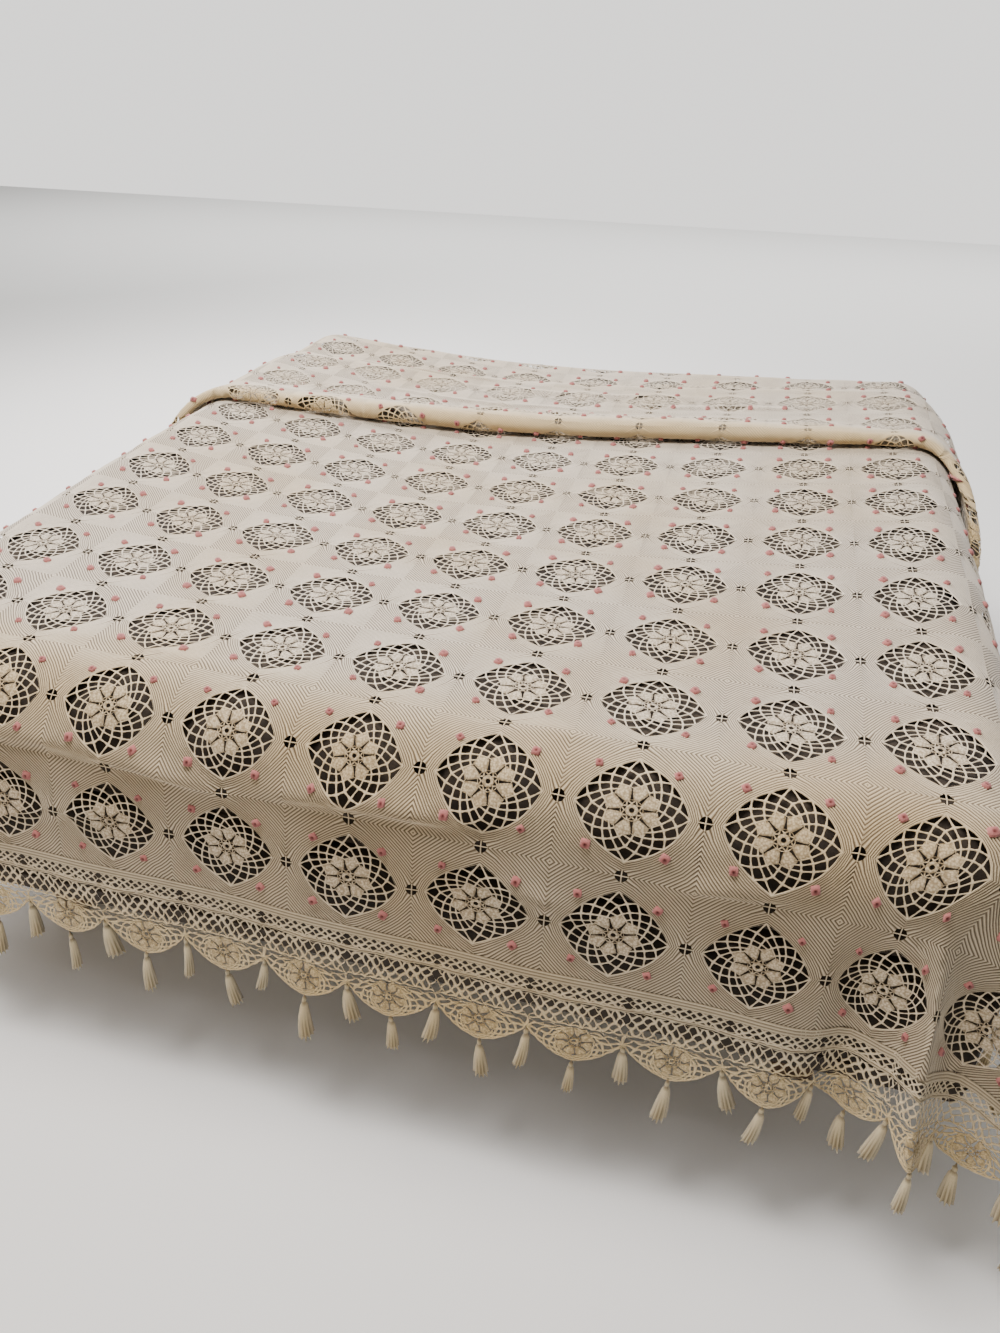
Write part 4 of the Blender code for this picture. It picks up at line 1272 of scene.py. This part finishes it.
def bobble_band(name, first_row, rows, yarn):
    """The bobbles of a band of squares, each a little turned, moved and resized."""
    unit = as_mesh("bobbles_unit", bobbles_unit())
    made, flat, number, _, _, inside = over_squares(name, unit, first_row, rows)
    write_map(made.data, in_blocks(number, *inside.T, TILES_ACROSS, rows))
    column, row = tile_number(flat[:, 0], flat[:, 1])
    middle_a = (column - (TILES_ACROSS - 1) / 2) * TILE
    middle_b = (row + 0.5) * TILE
    hand_u = np.sign(flat[:, 0] - middle_a)
    hand_v = np.sign(flat[:, 1] - middle_b)
    home_a = middle_a + hand_u * BOBBLE_SPOT[0] * HALF
    home_b = middle_b + hand_v * BOBBLE_SPOT[1] * HALF
    odd = [uneven(column, row, 20 + 2 * hand_u + hand_v + more) for more in (0, 10, 20, 30)]
    grow = 1 + BOBBLE_SIZE * odd[0]
    turn = pi * odd[1]
    x, y = (flat[:, 0] - home_a) * grow, (flat[:, 1] - home_b) * grow
    across = home_a + x * np.cos(turn) - y * np.sin(turn) + BOBBLE_MOVE * odd[2]
    along = home_b + x * np.sin(turn) + y * np.cos(turn) + BOBBLE_MOVE * odd[3]
    shade = np.hypot(x, y) / BOBBLE_ROUND + BOBBLE_SHADE_HEIGHT * flat[:, 2] / BOBBLE_HIGH
    write_relief_shade(made.data, shade, *BOBBLE_SHADE)
    lay(made.data, across, along, flat[:, 2] * grow)
    return finish_piece(made, name, yarn, "crochet")


# ---------------------------------------------------------------- mattress and base
PIPING, PIPING_SIDES, PIPING_TURN = 0.0030, 6, 6
CORD_UP, UPRIGHT = 0.045, 0.7
# block: corner rounding, upper cord below the top, tuft spacing, tuft depth, slot
BLOCKS = {
    "mattress": (0.130, 0.155, 0.180, 0.0030, "mattress_cover"),
    "bed_base": (0.012, 0.020, 0.345, 0.0015, "base_cover"),
}


def piping(bm, low, high, rounding, z):
    """A cord sewn round a block at one height."""
    centres = ((high[0], high[1], 0), (low[0], high[1], 1), (low[0], low[1], 2), (high[0], low[1], 3))
    path = []
    for x, y, quarter in centres:
        inward_x = x - rounding if quarter in (0, 3) else x + rounding
        inward_y = y - rounding if quarter in (0, 1) else y + rounding
        for step in range(PIPING_TURN + 1):
            angle = pi / 2 * (quarter + step / PIPING_TURN)
            path.append((inward_x + rounding * cos(angle), inward_y + rounding * sin(angle), angle))

    def place(along, round_it):
        x, y, angle = path[round(along * len(path)) % len(path)]
        turn = 2 * pi * round_it
        out = PIPING * cos(turn)
        return (x + out * cos(angle), y + out * sin(angle), z + PIPING * sin(turn))

    cord = bmesh.new()
    grid_of(cord, len(path), PIPING_SIDES, place)
    bmesh.ops.remove_doubles(cord, verts=cord.verts, dist=0.4 * MERGE)
    bmesh.ops.recalc_face_normals(cord, faces=cord.faces)
    merge_into(bm, cord)


def padded_block(name, cover):
    """The upholstered block with soft tufts and a cord round its upper and lower edge."""
    rounding, cord_down, gap, deep, slot = BLOCKS[name]
    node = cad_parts[name]
    bm = bmesh.new()
    bm.from_mesh(node.data)
    bm.transform(node.matrix_world)
    bmesh.ops.remove_doubles(bm, verts=bm.verts, dist=MERGE)
    bmesh.ops.subdivide_edges(bm, edges=bm.edges[:], cuts=1, use_grid_fill=True)
    bm.normal_update()
    for vert in bm.verts:
        x, y, z = vert.co
        tuft = sin(pi * x / gap) ** 2 * sin(pi * y / gap) ** 2
        if abs(vert.normal.z) < UPRIGHT:
            tuft = sin(pi * (x + y) / gap) ** 2
        vert.co = vert.co - vert.normal * deep * (1 - tuft)
    low = [min(vert.co[axis] for vert in bm.verts) for axis in range(3)]
    high = [max(vert.co[axis] for vert in bm.verts) for axis in range(3)]
    for z in (low[2] + CORD_UP, high[2] - cord_down):
        piping(bm, low, high, rounding, z)
    made = placed(name + "_padded", as_mesh(name + "_padded", bm))
    return finish_piece(made, name + "_padded", cover, slot)


# ---------------------------------------------------------------- the scene
camera_place = Vector((0.504, -1.141, 0.832 + TOP_HIGH)) + Vector(SHIFT)
look_from(camera_place, azimuth=radians(-14.65), elevation=radians(-32.02), roll=radians(1.18), lens=27.0)

world = bpy.data.worlds.new("soft_room")
world.use_nodes = True
room = world.node_tree
seen = add(room, "LightPath").outputs["Is Camera Ray"]
strength = scaled_range(room, seen, 0.32, 1.5)
feed(room, room.nodes["Background"], {"Color": (1.0, 0.98, 0.95, 1.0), "Strength": strength})
bpy.context.scene.world = world

# name, place, target, size, watts, colour
LIGHTS = (
    ("window", (-2.4, 2.4, 3.2), (0.0, 0.2, 0.6), (2.6, 1.8), 228.0, (1.0, 0.96, 0.95)),
    ("ceiling", (-0.5, -0.9, 3.8), (0.0, -0.4, 0.5), (1.6, 1.6), 200.0, (1.0, 0.95, 0.92)),
    ("backdrop", (0.0, 7.0, 3.8), (0.0, 7.0, 0.0), (15.0, 4.0), 560.0, (1.0, 0.99, 0.97)),
    ("lamp", (-1.4, -3.4, 1.5), (0.0, -1.0, 0.5), (1.0, 1.0), 12.0, (1.0, 0.74, 0.44)),
)
for light in LIGHTS:
    area_light(*light)

floor_bm = bmesh.new()
bmesh.ops.create_grid(floor_bm, x_segments=1, y_segments=1, size=9.0)
floor = placed("floor", as_mesh("floor", floor_bm))
floor_look, floor_tree, floor_shader = look("floor")
feed(floor_tree, floor_shader, {"Base Color": (0.95, 0.95, 0.94, 1.0), "Roughness": 0.9})
floor.data.materials.append(floor_look)

ecru = yarn_look("ecru_cotton", (0.68, 0.60, 0.48), (0.125, 0.095, 0.065), (0.90, 0.80, 0.62))
lace_yarn = yarn_look("lace_cotton", (0.66, 0.585, 0.46), (0.15, 0.115, 0.07), (0.90, 0.80, 0.60))
tassel_yarn = yarn_look("tassel_cotton", (0.60, 0.51, 0.33), (0.20, 0.15, 0.08), (0.92, 0.82, 0.62))
pink_yarn = yarn_look("rose_cotton", (0.42, 0.150, 0.138), (0.12, 0.02, 0.02), (0.90, 0.95, 0.95))
wood = wood_look("dark_wood", (0.14, 0.08, 0.045), (0.06, 0.035, 0.02))

fine_unit = as_mesh("square_fine", square(True, True), HALF)
far_unit = as_mesh("square_far", square(True, False), HALF)
plain_unit = as_mesh("square_plain", square(False, False), HALF)
# name, unit, first row, rows
BANDS = (
    ("spread_foot", fine_unit, 0, 3),
    ("spread_front", fine_unit, 3, 3),
    ("spread_middle", fine_unit, 6, 3),
    ("spread_pleat", plain_unit, 9, 3),
    ("spread_fold", fine_unit, 12, 2),
    ("spread_head", far_unit, 14, 3),
)
for name, unit, first, rows in BANDS:
    band = cloth_band(name, unit, first, rows, ecru)
    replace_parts(band, "bedspread")

for name, pitch, count, place in BORDER:
    run = border_run(name, pitch, count, place, lace_yarn)
    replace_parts(run, "lace_border")
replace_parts(tassel_row(tassel_yarn), "tassels")
bobble_band("bobbles_front", 0, 9, pink_yarn)
bobble_band("bobbles_head", 12, 5, pink_yarn)

for name in BLOCKS:
    cover = woven_look(name + "_cover", (0.045, 0.032, 0.020), (0.018, 0.012, 0.008), 400.0, 0.9)
    block = padded_block(name, cover)
    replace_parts(block, name)
for name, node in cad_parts.items():
    if name.startswith("leg"):
        node.data.materials.clear()
        node.data.materials.append(wood)
